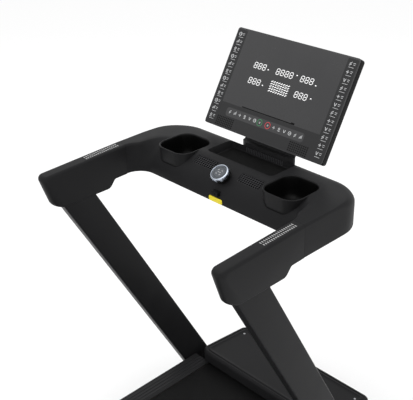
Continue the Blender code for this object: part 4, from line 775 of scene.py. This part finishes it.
def grip_corners(depth):
    """The grip's outline, seen from its side, at a depth in from its nearest side face."""
    crown = (1 - (1 - min(1.0, depth / GRIP_HALF)) ** 2.4) ** 0.5
    top, low = still_to_roll(EDGE, depth), still_to_roll(LOWER_EDGE, depth)
    front = SEAM_Y + PAST_SEAM
    return [(GRIP_REAR - END_BULGE[0] * crown, GRIP_TOP - top, 0.014),
            (GRIP_REAR + 0.0615 - END_BULGE[1] * crown, FOOT_BOTTOM + low, 0.012 + 0.028 * crown),
            (GRIP_REAR + 0.240 - low, FOOT_BOTTOM + low, 0.024),
            (GRIP_REAR + 0.262 - low, BAR_BOTTOM - 0.0022 + low, 0.012),
            (front, BAR_BOTTOM - 0.0006 + low, 0), (front, CONSOLE_TOP + GRIP_SLOPE * PAST_SEAM - top, 0)]


def handrails():
    """Grip mouldings with rolled edges, a crowned rear end and a foot that caps the upright."""
    outlines = [(depth, rounded(grip_corners(depth), 8)) for depth in GRIP_DEPTHS]
    tick_places = [0.180 + 0.128 * tick / 16 for tick in range(17)]
    for label, side in SIDES:
        low, high = sorted((side * GRIP_X0, side * GRIP_X1))
        rings = [[(low + depth, p.x, p.y) for p in outline] for depth, outline in outlines]
        rings += [[(high - depth, p.x, p.y) for p in outline] for depth, outline in outlines[-2::-1]]
        shape = skin(rings)
        cut = bmesh.ops.bisect_plane(shape, geom=shape.verts[:] + shape.edges[:] + shape.faces[:],
                                     plane_co=(0, SEAM_Y - 0.0006, 0), plane_no=(0, 1, 0), clear_outer=True)
        rim = [edge for edge in cut["geom_cut"] if isinstance(edge, bmesh.types.BMEdge)]
        bmesh.ops.contextual_create(shape, geom=rim)
        grip = piece("handrail_grip_" + label, shape, ABS_GRIP, "base")
        stands_for(grip, "black_plastic", "handrail_" + label)
        middle_x = side * (GRIP_X0 + GRIP_X1) / 2
        pad = block((-0.0038, -0.0017, -0.001), (0.0038, 0.0017, 0.0005), 0.0003)
        ticks = repeated("grip_ticks_" + label, pad, TICK_SILVER, "base", turn=(math.atan(GRIP_SLOPE), 0, 0),
                         points=[(middle_x + row, y, GRIP_TOP + GRIP_SLOPE * (y - GRIP_REAR))
                                 for row in (-0.0062, 0.0062) for y in tick_places])


def uprights():
    """Leaning rectangular tubes with rounded edges; they end inside the handrails' feet."""
    lean = math.tan(math.radians(29))
    height = POST_HIGH.z - POST_LOW.z
    depth = POST_HIGH.y - POST_LOW.y - lean * height
    levels = (POST_LOW.z, POST_LOW.z + height / 3, POST_LOW.z + 2 * height / 3, POST_HIGH.z - 0.008)
    for label, side in SIDES:
        rings = []
        for z in levels:
            outline = rectangle(side * (POST_LOW.x + POST_HIGH.x) / 2,
                                POST_HIGH.y - depth / 2 - lean * (z - POST_LOW.z),
                                POST_HIGH.x - POST_LOW.x - 0.0016, depth, 0.0070)
            rings.append([(p.x, p.y, z) for p in outline])
        post = piece("upright_tube_" + label, skin(rings), POWDER_COAT, "base")
        stands_for(post, "painted_steel", "upright_" + label)


# ---------------------------------------------------------------- display
PRINT_THICK = 0.0004
KEY_ROW = -0.1115                       # height of the key strip, from the display's centre
START_KEY_X, STOP_KEY_X = -0.026, 0.009
ICON_COLUMN_X = 0.2295


def on_glass(x=0.0, y=0.0, rise=0.0003):
    """A place on the display: across, up, and how proud of the glass."""
    return ON_SCREEN @ Matrix.Translation((x, y, rise))


def digit_bars(x, y):
    """The seven bars of one display digit, as flat six-sided bars that lean a little."""
    width, height, stroke, gap, lean = 0.0135, 0.0205, 0.0018, 0.0007, 0.10
    half_w, half_h = width / 2 - stroke / 2, height / 2 - stroke / 2
    bars = [((-half_w, up), (half_w, up)) for up in (half_h, 0, -half_h)]
    for across in (-half_w, half_w):
        bars += [((across, 0), (across, half_h)), ((across, -half_h), (across, 0))]
    shapes = []
    for start, end in bars:
        start, end = Vector(start), Vector(end)
        along = (end - start).normalized()
        side = Vector((-along.y, along.x)) * stroke / 2
        start, end = start + along * gap, end - along * gap
        tip = along * stroke / 2
        outline = [start, start + tip + side, end - tip + side, end, end - tip - side, start + tip - side]
        outline = [Vector((x + p.x + lean * p.y, y + p.y)) for p in outline][::-1]
        shapes.append(prism(outline, 0.0, PRINT_THICK))
    return joined(shapes)


def ring_shape(x, y, radius, stroke, steps=28):
    """A thin printed ring."""
    inside = radius - stroke
    shape = lathe([(inside, 0.0), (radius, 0.0), (radius, PRINT_THICK), (inside, PRINT_THICK), (inside, 0.0)],
                  steps)
    shape.transform(Matrix.Translation((x, y, 0)))
    return shape


def bar_shape(x, y, width, height, turn=0.0):
    """A thin printed bar, turned by some degrees."""
    shape = block((-width / 2, -height / 2, 0.0), (width / 2, height / 2, PRINT_THICK))
    shape.transform(Matrix.Translation((x, y, 0)) @ Matrix.Rotation(math.radians(turn), 4, "Z"))
    return shape


def small_symbol(kind, x, y, size):
    """One of six plain symbols: ring and hand, two slanted bars, steps, cross, ring over a bar, chevron."""
    stroke = size * 0.16
    if kind == 0:
        strokes = [ring_shape(x, y, size * 0.5, stroke), bar_shape(x + size * 0.12, y, size * 0.35, stroke)]
    elif kind == 1:
        strokes = [bar_shape(x, y + size * up, size * 0.75, stroke, 38) for up in (0.2, -0.2)]
    elif kind == 2:
        strokes = [bar_shape(x + step * size * 0.3, y + step * size * 0.16, stroke, size * (0.65 + 0.2 * step))
                   for step in (-1, 0, 1)]
    elif kind == 3:
        strokes = [bar_shape(x, y, size * 0.8, stroke), bar_shape(x, y, stroke, size * 0.8)]
    elif kind == 4:
        strokes = [ring_shape(x, y + size * 0.15, size * 0.32, stroke),
                   bar_shape(x, y - size * 0.4, size * 0.7, stroke)]
    else:
        strokes = [bar_shape(x + size * across, y, stroke, size * 0.8, turn)
                   for across, turn in ((-0.15, 20), (0.2, -20))]
    return joined(strokes)


def all_digits():
    """Five groups of digits, and the small mark beside each."""
    pitch = 0.0185
    rows = ((0.0625, ((-0.106, 3), (0.0, 4), (0.0925, 3))), (0.010, ((-0.107, 3), (0.0905, 3))))
    marks = ((-0.069, 0.0590), (0.050, 0.0680), (0.131, 0.0540), (-0.0690, 0.0055), (0.131, 0.0110))
    shapes = [digit_bars(centre + (place - (count - 1) / 2) * pitch, up)
              for up, groups in rows for centre, count in groups for place in range(count)]
    return joined(shapes + [bar_shape(x, y, 0.0050, 0.0028) for x, y in marks])


def all_symbols():
    """Two columns of symbols with short bars beside and under them, and the row of touch keys."""
    shapes = []
    for _, side in SIDES:
        for place in range(12):
            x, up = side * ICON_COLUMN_X, 0.148 - 0.0262 * place
            shapes += [small_symbol((place * 2 + (side > 0)) % 6, x - 0.006, up, 0.0130),
                       bar_shape(x + 0.008, up + 0.003, 0.0085, 0.0016),
                       bar_shape(x + 0.008, up - 0.002, 0.0065, 0.0016),
                       bar_shape(x, up - 0.0110, 0.0200, 0.0012)]
    for place in range(6):
        shapes += [small_symbol((place + 1) % 6, -0.159 + 0.0222 * place, KEY_ROW + 0.001, 0.0125),
                   small_symbol((place + 3) % 6, 0.035 + 0.0222 * place, KEY_ROW, 0.0125)]
    shapes += [small_symbol(5, START_KEY_X, KEY_ROW, 0.009), small_symbol(3, STOP_KEY_X, KEY_ROW, 0.009)]
    return joined(shapes)


def display():
    """The flat display: shell, glass, printed areas, digits, symbols, holes and the screws behind."""
    half_w, half_h = SCREEN_WIDTH / 2, SCREEN_HEIGHT / 2
    corners = four_corners((-half_w, -half_h), (half_w, half_h), 0.009)
    shell = piece("display_rear_shell", rolled_plate(corners, -SCREEN_THICK, -GLASS_THICK - 0.0004, 0.0035, "Z"),
                  DISPLAY_SHELL, "screen", matrix=ON_SCREEN)
    stands_for(shell, "black_plastic", "screen_shell")
    glass = piece("display_front", rolled_plate(corners, -GLASS_THICK, 0.0, 0.0010, "Z"), SCREEN_SHEET, "screen",
                  matrix=ON_SCREEN)
    stands_for(glass, "screen_black", "screen_glass")
    border = 0.002
    band = rounded(four_corners((-half_w + border, -half_h + border), (half_w - border, -0.084), 0))
    key_strip = rectangle(-0.009, KEY_ROW, 0.335, 0.030, 0.010)
    # name, outline, lowest and highest level over the glass, finish, slot
    sheets = [("display_lower_band", band, -0.0002, 0.00015, SCREEN_BAND, "screen_black"),
              ("display_key_strip", key_strip, 0.0, 0.0003, SCREEN_PAD, "screen_black")]
    for label, side in SIDES:
        strip = rectangle(side * (half_w - 0.024), 0, 0.040, SCREEN_HEIGHT - 0.012, 0.004)
        sheets.append(("display_side_strip_" + label, strip, -0.0001, 0.00028, SCREEN_BAND, "screen_black"))
    # painted shade: the slot and its catch are near-black sheets standing for the shade in them
    groove = rectangle(-0.008, -0.0815, 0.222, 0.0032, 0.001)
    catch = rectangle(0.099, -0.0800, 0.014, 0.0062, 0.001)
    sheets += [("display_slot", groove, 0.0, 0.0004, SHADE_BLACK, "dark_plastic"),
               ("display_slot_catch", catch, 0.0, 0.0005, SHADE_BLACK, "dark_plastic")]
    for name, outline, low, high, material, slot in sheets:
        piece(name, prism(outline, low, high), material, "screen", matrix=ON_SCREEN)
    piece("display_digits", all_digits(), LED_WHITE, "screen", matrix=on_glass())
    dots = repeated("display_dot_matrix", bar_shape(0, 0, 0.0085, 0.0023, 30), LED_WHITE, "screen",
                    grid=(8, 5, 0.070, 0.032), matrix=on_glass(-0.001, 0.0115))
    piece("display_symbols", all_symbols(), PRINT_GREY, "screen", matrix=on_glass())
    for name, x, material in (("display_start_ring", START_KEY_X, RING_GREEN),
                              ("display_stop_ring", STOP_KEY_X, RING_RED)):
        ring = ring_shape(x, KEY_ROW, 0.0112, 0.0016, 40)
        piece(name, ring, material, "screen", matrix=on_glass(rise=0.0004))
    for label, centre in (("left", -0.168), ("right", 0.151)):
        # painted shade: the speaker holes are near-black marks standing for the shade in them
        holes = repeated("display_speaker_" + label, bar_shape(0, 0, 0.0048, 0.0032, 45), SHADE_BLACK, "screen",
                         grid=(10, 5, 0.070, 0.027), matrix=on_glass(centre, -0.148, 0.0002))
    # painted shade: near-black bars on the display's back stand for the shade in its vent slots
    rear_vents = repeated("display_back_vents", bar_shape(0, 0, 0.0035, 0.022), RECESS_SHADE, "screen",
                          grid=(24, 2, 0.26, 0.034), matrix=on_glass(0, 0.105, -SCREEN_THICK - 0.0003))
    screws = repeated("display_back_screws", screw_head(0.0040), ZINC, "screen",
                      points=[(x, y, 0) for x in (-0.225, 0.225) for y in (-0.145, 0.0, 0.145)],
                      matrix=on_glass(rise=-SCREEN_THICK) @ Matrix.Rotation(math.pi, 4, "X"))


def screw_head(radius, flat=1.0):
    """A button-head screw with a six-sided socket, standing on Z; flat is its share of the full height."""
    rise = radius * flat
    rim = [(radius, 0.0), (radius * 0.96, rise * 0.22), (radius * 0.80, rise * 0.42), (radius * 0.55, rise * 0.52),
           (radius * 0.44, rise * 0.53)]
    rings = [[(across * math.cos(math.pi * k / 6), across * math.sin(math.pi * k / 6), z) for k in range(12)]
             for across, z in rim]
    for across, z in ((radius * 0.42, rise * 0.53), (radius * 0.40, rise * 0.15)):
        rings.append([(across * math.cos(turn), across * math.sin(turn), z)
                      for turn in (math.pi / 3 * round(k / 2) for k in range(12))])
    shape = skin(rings)
    bmesh.ops.remove_doubles(shape, verts=shape.verts, dist=WELD)
    return shape


def mast():
    """Six-sided post that rises behind the tray and leans back to the display's hinge."""
    half_face, half_width, rear = 0.088, MAST_HIGH.x, MAST_LOW.y
    foot_rear, foot_back = rear - 0.015, rear + 0.031
    turn_z = CONSOLE_TOP + 0.004
    # height, user's side, widest line, far side, share of the width
    levels = ((MAST_LOW.z, foot_rear, rear, foot_back, 1.0), (turn_z, foot_rear, rear, foot_back, 1.0),
              (turn_z + 0.003, rear - 0.002, rear + 0.004, foot_back + 0.003, 1.0),
              (turn_z + 0.013, rear + 0.003, rear + 0.014, foot_back + 0.014, 0.99),
              (CONSOLE_TOP + 0.042, rear + 0.013, rear + 0.030, rear + 0.052, 0.96),
              (MAST_HIGH.z - 0.030, rear + 0.040, rear + 0.058, rear + 0.082, 0.90),
              (MAST_HIGH.z - 0.003, rear + 0.054, rear + 0.066, rear + 0.090, 0.88),
              (MAST_HIGH.z, rear + 0.057, rear + 0.068, rear + 0.087, 0.86))
    rings = []
    for z, near, middle, far, share in levels:
        face, widest = half_face * share, half_width * share
        corners = [(-face, near, 0.005), (face, near, 0.005), (widest, middle, 0.006), (face, far, 0.006),
                   (-face, far, 0.006), (-widest, middle, 0.006)]
        rings.append([(p.x, p.y, z) for p in rounded(corners, 5)])
    post = piece("mast_post", skin(rings), SATIN_PAINT_LIT, "base", 26)
    stands_for(post, "painted_steel", "screen_mast")
    # the faces toward and away from the user are the darker moulded covers; the sides keep the lighter paint,
    # partly painted light for the shade the display casts on them
    post.data.materials.append(ABS_RAIL)
    for face in post.data.polygons:
        if abs(face.normal.x) < 0.5:
            face.material_index = 1


# ---------------------------------------------------------------- deck
def side_rails():
    """Foot rails: extruded profile with lengthways ribs on top."""
    rib_count, rib_height, outer_radius, wall = 4, 0.0020, 0.008, 0.0245
    inner, outer = BELT_HALF + 0.003, RAIL_HIGH.x
    top, low = RAIL_HIGH.z, RAIL_LOW.z
    line = [(inner, top - 0.012), (inner, top - 0.0075), (inner + 0.0012, top - 0.0062),
            (inner + 0.0058, top - 0.0014)]
    first = inner + 0.009
    pitch = (outer - 0.011 - first) / rib_count
    for rib in range(rib_count):
        x = first + rib * pitch
        line += [(x, top - rib_height), (x + pitch * 0.10, top), (x + pitch * 0.66, top),
                 (x + pitch * 0.76, top - rib_height)]
    for step in range(6):
        angle = math.pi / 2 * (1 - step / 5)
        line.append((outer - outer_radius + outer_radius * math.cos(angle),
                     top - outer_radius + outer_radius * math.sin(angle)))
    line += [(outer, low + 0.004), (outer - 0.0012, low + 0.0012), (outer - 0.004, low), (outer - wall, low),
             (outer - wall, low + 0.0165), (inner + 0.016, low + 0.0165), (inner + 0.016, top - 0.012)]
    stations = (RAIL_LOW.y, (RAIL_LOW.y + RAIL_HIGH.y) / 2, RAIL_HIGH.y)
    for label, side in SIDES:
        rail = piece("foot_rail_" + label, skin([[(side * x, y, z) for x, z in line] for y in stations]),
                     ABS_RAIL, "deck")
        stands_for(rail, "side_rail", "side_rail_" + label)
        tail_low, tail_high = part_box("rear_cover_" + label)
        screws = repeated("rear_cover_screws_" + label, screw_head(0.0045), ZINC, "deck",
                          points=[(side * x, tail_low.y + 0.030, tail_high.z - 0.0012)
                                  for x in (outer - 0.018, inner + 0.020)])


def running_belt():
    """The endless belt as one smooth loop round both rollers."""
    front, rear = (sum(corner.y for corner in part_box(node)) / 2 for node in ("front_roller", "rear_roller"))
    radius = (BELT_HIGH.z - BELT_LOW.z) / 2
    level = (BELT_HIGH.z + BELT_LOW.z) / 2
    thick, edge = 0.0023, 0.0006

    def loop(size):
        """(y, z) points at a distance from the rollers' axes: round one, along, round the other and back."""
        points = []
        for centre, other, start, height in ((front, rear, -90, level + size), (rear, front, 90, level - size)):
            turns = [math.radians(start + 7.5 * step) for step in range(25)]
            points += [(centre + size * math.cos(turn), level + size * math.sin(turn)) for turn in turns]
            points += [(centre + (other - centre) * part / 12, height) for part in range(1, 12)]
        return points

    section = ((-BELT_HALF, radius - thick), (-BELT_HALF, radius - edge), (-BELT_HALF + edge, radius), (0, radius),
               (BELT_HALF - edge, radius), (BELT_HALF, radius - edge), (BELT_HALF, radius - thick),
               (0, radius - thick), (-BELT_HALF, radius - thick))
    rings = [[(x, y, z) for y, z in loop(size)] for x, size in section]
    belt = piece("endless_belt", skin(rings, False), PVC_BELT, "deck")
    stands_for(belt, "running_belt", "running_belt")


# the double bead round the top: (distance in from the sides, drop below the slope)
HOOD_RINGS = ((0.0, 0.0120), (0.0003, 0.0092), (0.0014, 0.0062), (0.0034, 0.0034), (0.0058, 0.0014),
              (0.0085, 0.0003),
              (0.0115, 0.0002), (0.0135, 0.0016), (0.0155, 0.0030), (0.0180, 0.0030), (0.0200, 0.0016),
              (0.0225, 0.0002), (0.0255, 0.0002), (0.0285, 0.0020), (0.0330, 0.0034), (0.0400, 0.0038))


def hood_outline(distance):
    """Evenly spaced points round the hood, moved in from its sides by a distance."""
    half, rear_radius, front_radius = HOOD_HIGH.x, 0.042, 0.030
    corners = [(-half, HOOD_LOW.y, rear_radius), (half, HOOD_LOW.y, rear_radius),
               (half, HOOD_HIGH.y, front_radius), (-half, HOOD_HIGH.y, front_radius)]
    return evenly(rounded(inset(corners, distance), 10), 260)


def motor_hood():
    """Sloping cover; a double bead runs round its top edge, and its wall stops above the rails and tubes."""
    half, rear, front, top = HOOD_HIGH.x, HOOD_LOW.y, HOOD_HIGH.y, HOOD_HIGH.z
    fall = 0.026 / (front - rear)
    rail_top, tube_top = RAIL_HIGH.z + 0.0012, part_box("deck_frame")[1].z + 0.0006
    skirt, wall_foot = [], []
    for p in hood_outline(0.0):
        at_front = p.y > front - 0.01
        if p.y >= rear + 0.0085 and abs(p.x) > 0.300:
            low = tube_top
        elif at_front:
            low = HOOD_LOW.z
        else:
            low = rail_top
        tuck = 0.010 if at_front and abs(p.x) < 0.295 else 0.0
        skirt.append((p.x, p.y - tuck, low))
        highest = top - fall * (p.y - rear) - 0.016
        wall_foot.append((p.x, p.y, max(low + 0.001, min(highest, 0.198 if low < 0.19 else low + 0.008))))
    rings = [skirt, wall_foot]
    for distance, drop in HOOD_RINGS:
        rings.append([(p.x, p.y, top - fall * (p.y - rear) - drop) for p in hood_outline(distance)])
    shape = skin(rings, False)
    shape.faces.new(shape.verts[-len(skirt):])
    hood = piece("motor_hood_shell", shape, ABS_SHELL, None, 30)
    wall = hood.modifiers.new("wall", "SOLIDIFY")
    wall.thickness = 0.0028
    wall.offset = -1.0
    # the rocker needs room to swing
    for node, gap in (("power_inlet", 0.0004), ("power_switch", 0.0016)):
        low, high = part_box(node)
        carve(hood, block((low.x - gap, low.y - 0.01, low.z - gap), (high.x + gap, high.y + 0.03, high.z + gap)))
    hood.data.shade_smooth()
    hood.data.set_sharp_from_angle(angle=math.radians(30))
    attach(hood, "deck")
    stands_for(hood, "black_plastic", "motor_hood")
    screw_y = front - 0.050
    screws = repeated("hood_screws", screw_head(0.0045), ZINC, "deck", turn=(-math.atan(fall), 0, 0),
                      points=[(x, screw_y, top - fall * (screw_y - rear) - 0.0045)
                              for x in (-half + 0.040, half - 0.040)])


# ---------------------------------------------------------------- small fittings
def upright_bolts(label, side):
    """Two flat bolts through the boot at the foot of an upright."""
    boot_low, boot_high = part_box("upright_boot_right")
    bolts = repeated("upright_bolts_" + label, screw_head(0.0075, 0.35), ZINC, "base",
                     points=[(side * (boot_high.x - 0.0002), boot_low.y + along, boot_low.z + 0.024)
                             for along in (0.060, 0.115)],
                     turn=(0, side * math.pi / 2, 0))


def transport_tyre(label):
    """A wheel turned in one piece: a hub, a thinner web and a crowned tread."""
    low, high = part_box("transport_wheel_" + label)
    radius, half = (high.z - low.z) / 2, (high.x - low.x) / 2
    face = [(0.0058, half), (0.013, half), (0.014, half - 0.0015), (radius - 0.010, half - 0.0015),
            (radius - 0.008, half), (radius - 0.003, half), (radius - 0.0008, half - 0.0012),
            (radius, half - 0.0035)]
    profile = [(distance, -height) for distance, height in face] + face[::-1]
    shape = lathe(profile + [profile[0]], 56)
    shape.transform(Matrix.Translation((low + high) / 2) @ Matrix.Rotation(math.pi / 2, 4, "Y"))
    item = piece("transport_tyre_" + label, shape, RUBBER, "wheel_" + label)
    stands_for(item, "rubber", "transport_wheel_" + label)


def fittings():
    """The bolts and the wheel at each foot."""
    for label, side in SIDES:
        upright_bolts(label, side)
        transport_tyre(label)


# ---------------------------------------------------------------- finishes of the frame's own nodes
NODE_FINISHES = {
    "painted_steel": POWDER_COAT, "black_plastic": ABS_SHELL, "dark_plastic": PP_BLACK, "rubber": RUBBER,
    "bare_steel": ZINC, "machine_grey": CAST_GREY, "running_board": PHENOLIC, "circuit_green": FR4,
    "switch_red": SIGNAL_RED, "side_rail": ABS_RAIL, "running_belt": PVC_BELT, "screen_black": SCREEN_SHEET,
    "knob_silver": ANODISED, "label_yellow": LABEL_YELLOW,
}


def finish_nodes():
    """Give every node of the frame the finish of its slot, or its own."""
    slots = {entry["node"]: entry["material_slot"] for entry in frame["record"]["subparts"]}
    special = {"incline_rod": DRAWN_STEEL, "front_roller": ROLLER_STEEL, "rear_roller": ROLLER_STEEL}
    for name, item in frame["nodes"].items():
        item.data.materials.clear()
        item.data.materials.append(special.get(name, NODE_FINISHES[slots[name]]))
        item.data.shade_smooth()
        item.data.set_sharp_from_angle(angle=math.radians(30))


# ---------------------------------------------------------------- stage
SOFTBOXES = (       # name, place, side in metres, watts
    ("overhead_softbox", (-0.4, -0.6, 4.6), 3.2, 56), ("right_softbox", (3.8, -0.2, 2.0), 2.4, 13),
    ("far_left_softbox", (-2.8, 3.4, 3.2), 2.4, 9))
LIT_POINT = Vector((0, 0.3, 1.0))


def stage():
    """A pale floor, a white surround and three soft lights."""
    floor = bmesh.new()
    bmesh.ops.create_grid(floor, x_segments=1, y_segments=1, size=30)
    ground = piece("studio_floor", floor, plain("matt_paper", "fafafa", 0.95, Specular_IOR_Level=0.0), None,
                   matrix=Matrix.Translation((0, 0, -0.0005)))
    world = bpy.data.worlds.new("studio")
    bpy.context.scene.world = world
    world.use_nodes = True
    background = world.node_tree.nodes["Background"]
    background.inputs["Color"].default_value = (1, 1, 1, 1)
    background.inputs["Strength"].default_value = 1.0
    for name, place, size, energy in SOFTBOXES:
        light = bpy.data.lights.new(name, "AREA")
        light.shape = "SQUARE"
        light.size = size
        light.energy = energy
        lamp = bpy.data.objects.new(name, light)
        bpy.context.scene.collection.objects.link(lamp)
        lamp.location = place
        lamp.rotation_euler = (LIT_POINT - Vector(place)).to_track_quat("-Z", "Y").to_euler()


def camera():
    """A medium long lens from the rear right, above the handrails."""
    lens = bpy.data.cameras.new("camera")
    lens.lens = 72.37
    lens.sensor_width = 36
    lens.shift_x, lens.shift_y = -0.0199, -0.0438
    item = bpy.data.objects.new("camera", lens)
    bpy.context.scene.collection.objects.link(item)
    azimuth, elevation, roll = (math.radians(angle) for angle in (45.75, 26.45, -0.69))
    heading = Vector((-math.sin(azimuth) * math.cos(elevation), math.cos(azimuth) * math.cos(elevation),
                      -math.sin(elevation)))
    item.location = (1.651, -1.223, 2.344)
    item.rotation_mode = "QUATERNION"
    item.rotation_quaternion = heading.to_track_quat("-Z", "Y") @ Matrix.Rotation(roll, 3, "Z").to_quaternion()
    bpy.context.scene.camera = item


bpy.context.scene.view_settings.view_transform = "Standard"
for make in (camera, stage, finish_nodes, console_shell, cup_tubs, vents, tray, knob, key_and_label, handrails,
             uprights, display, mast, side_rails, running_belt, motor_hood, fittings):
    make()
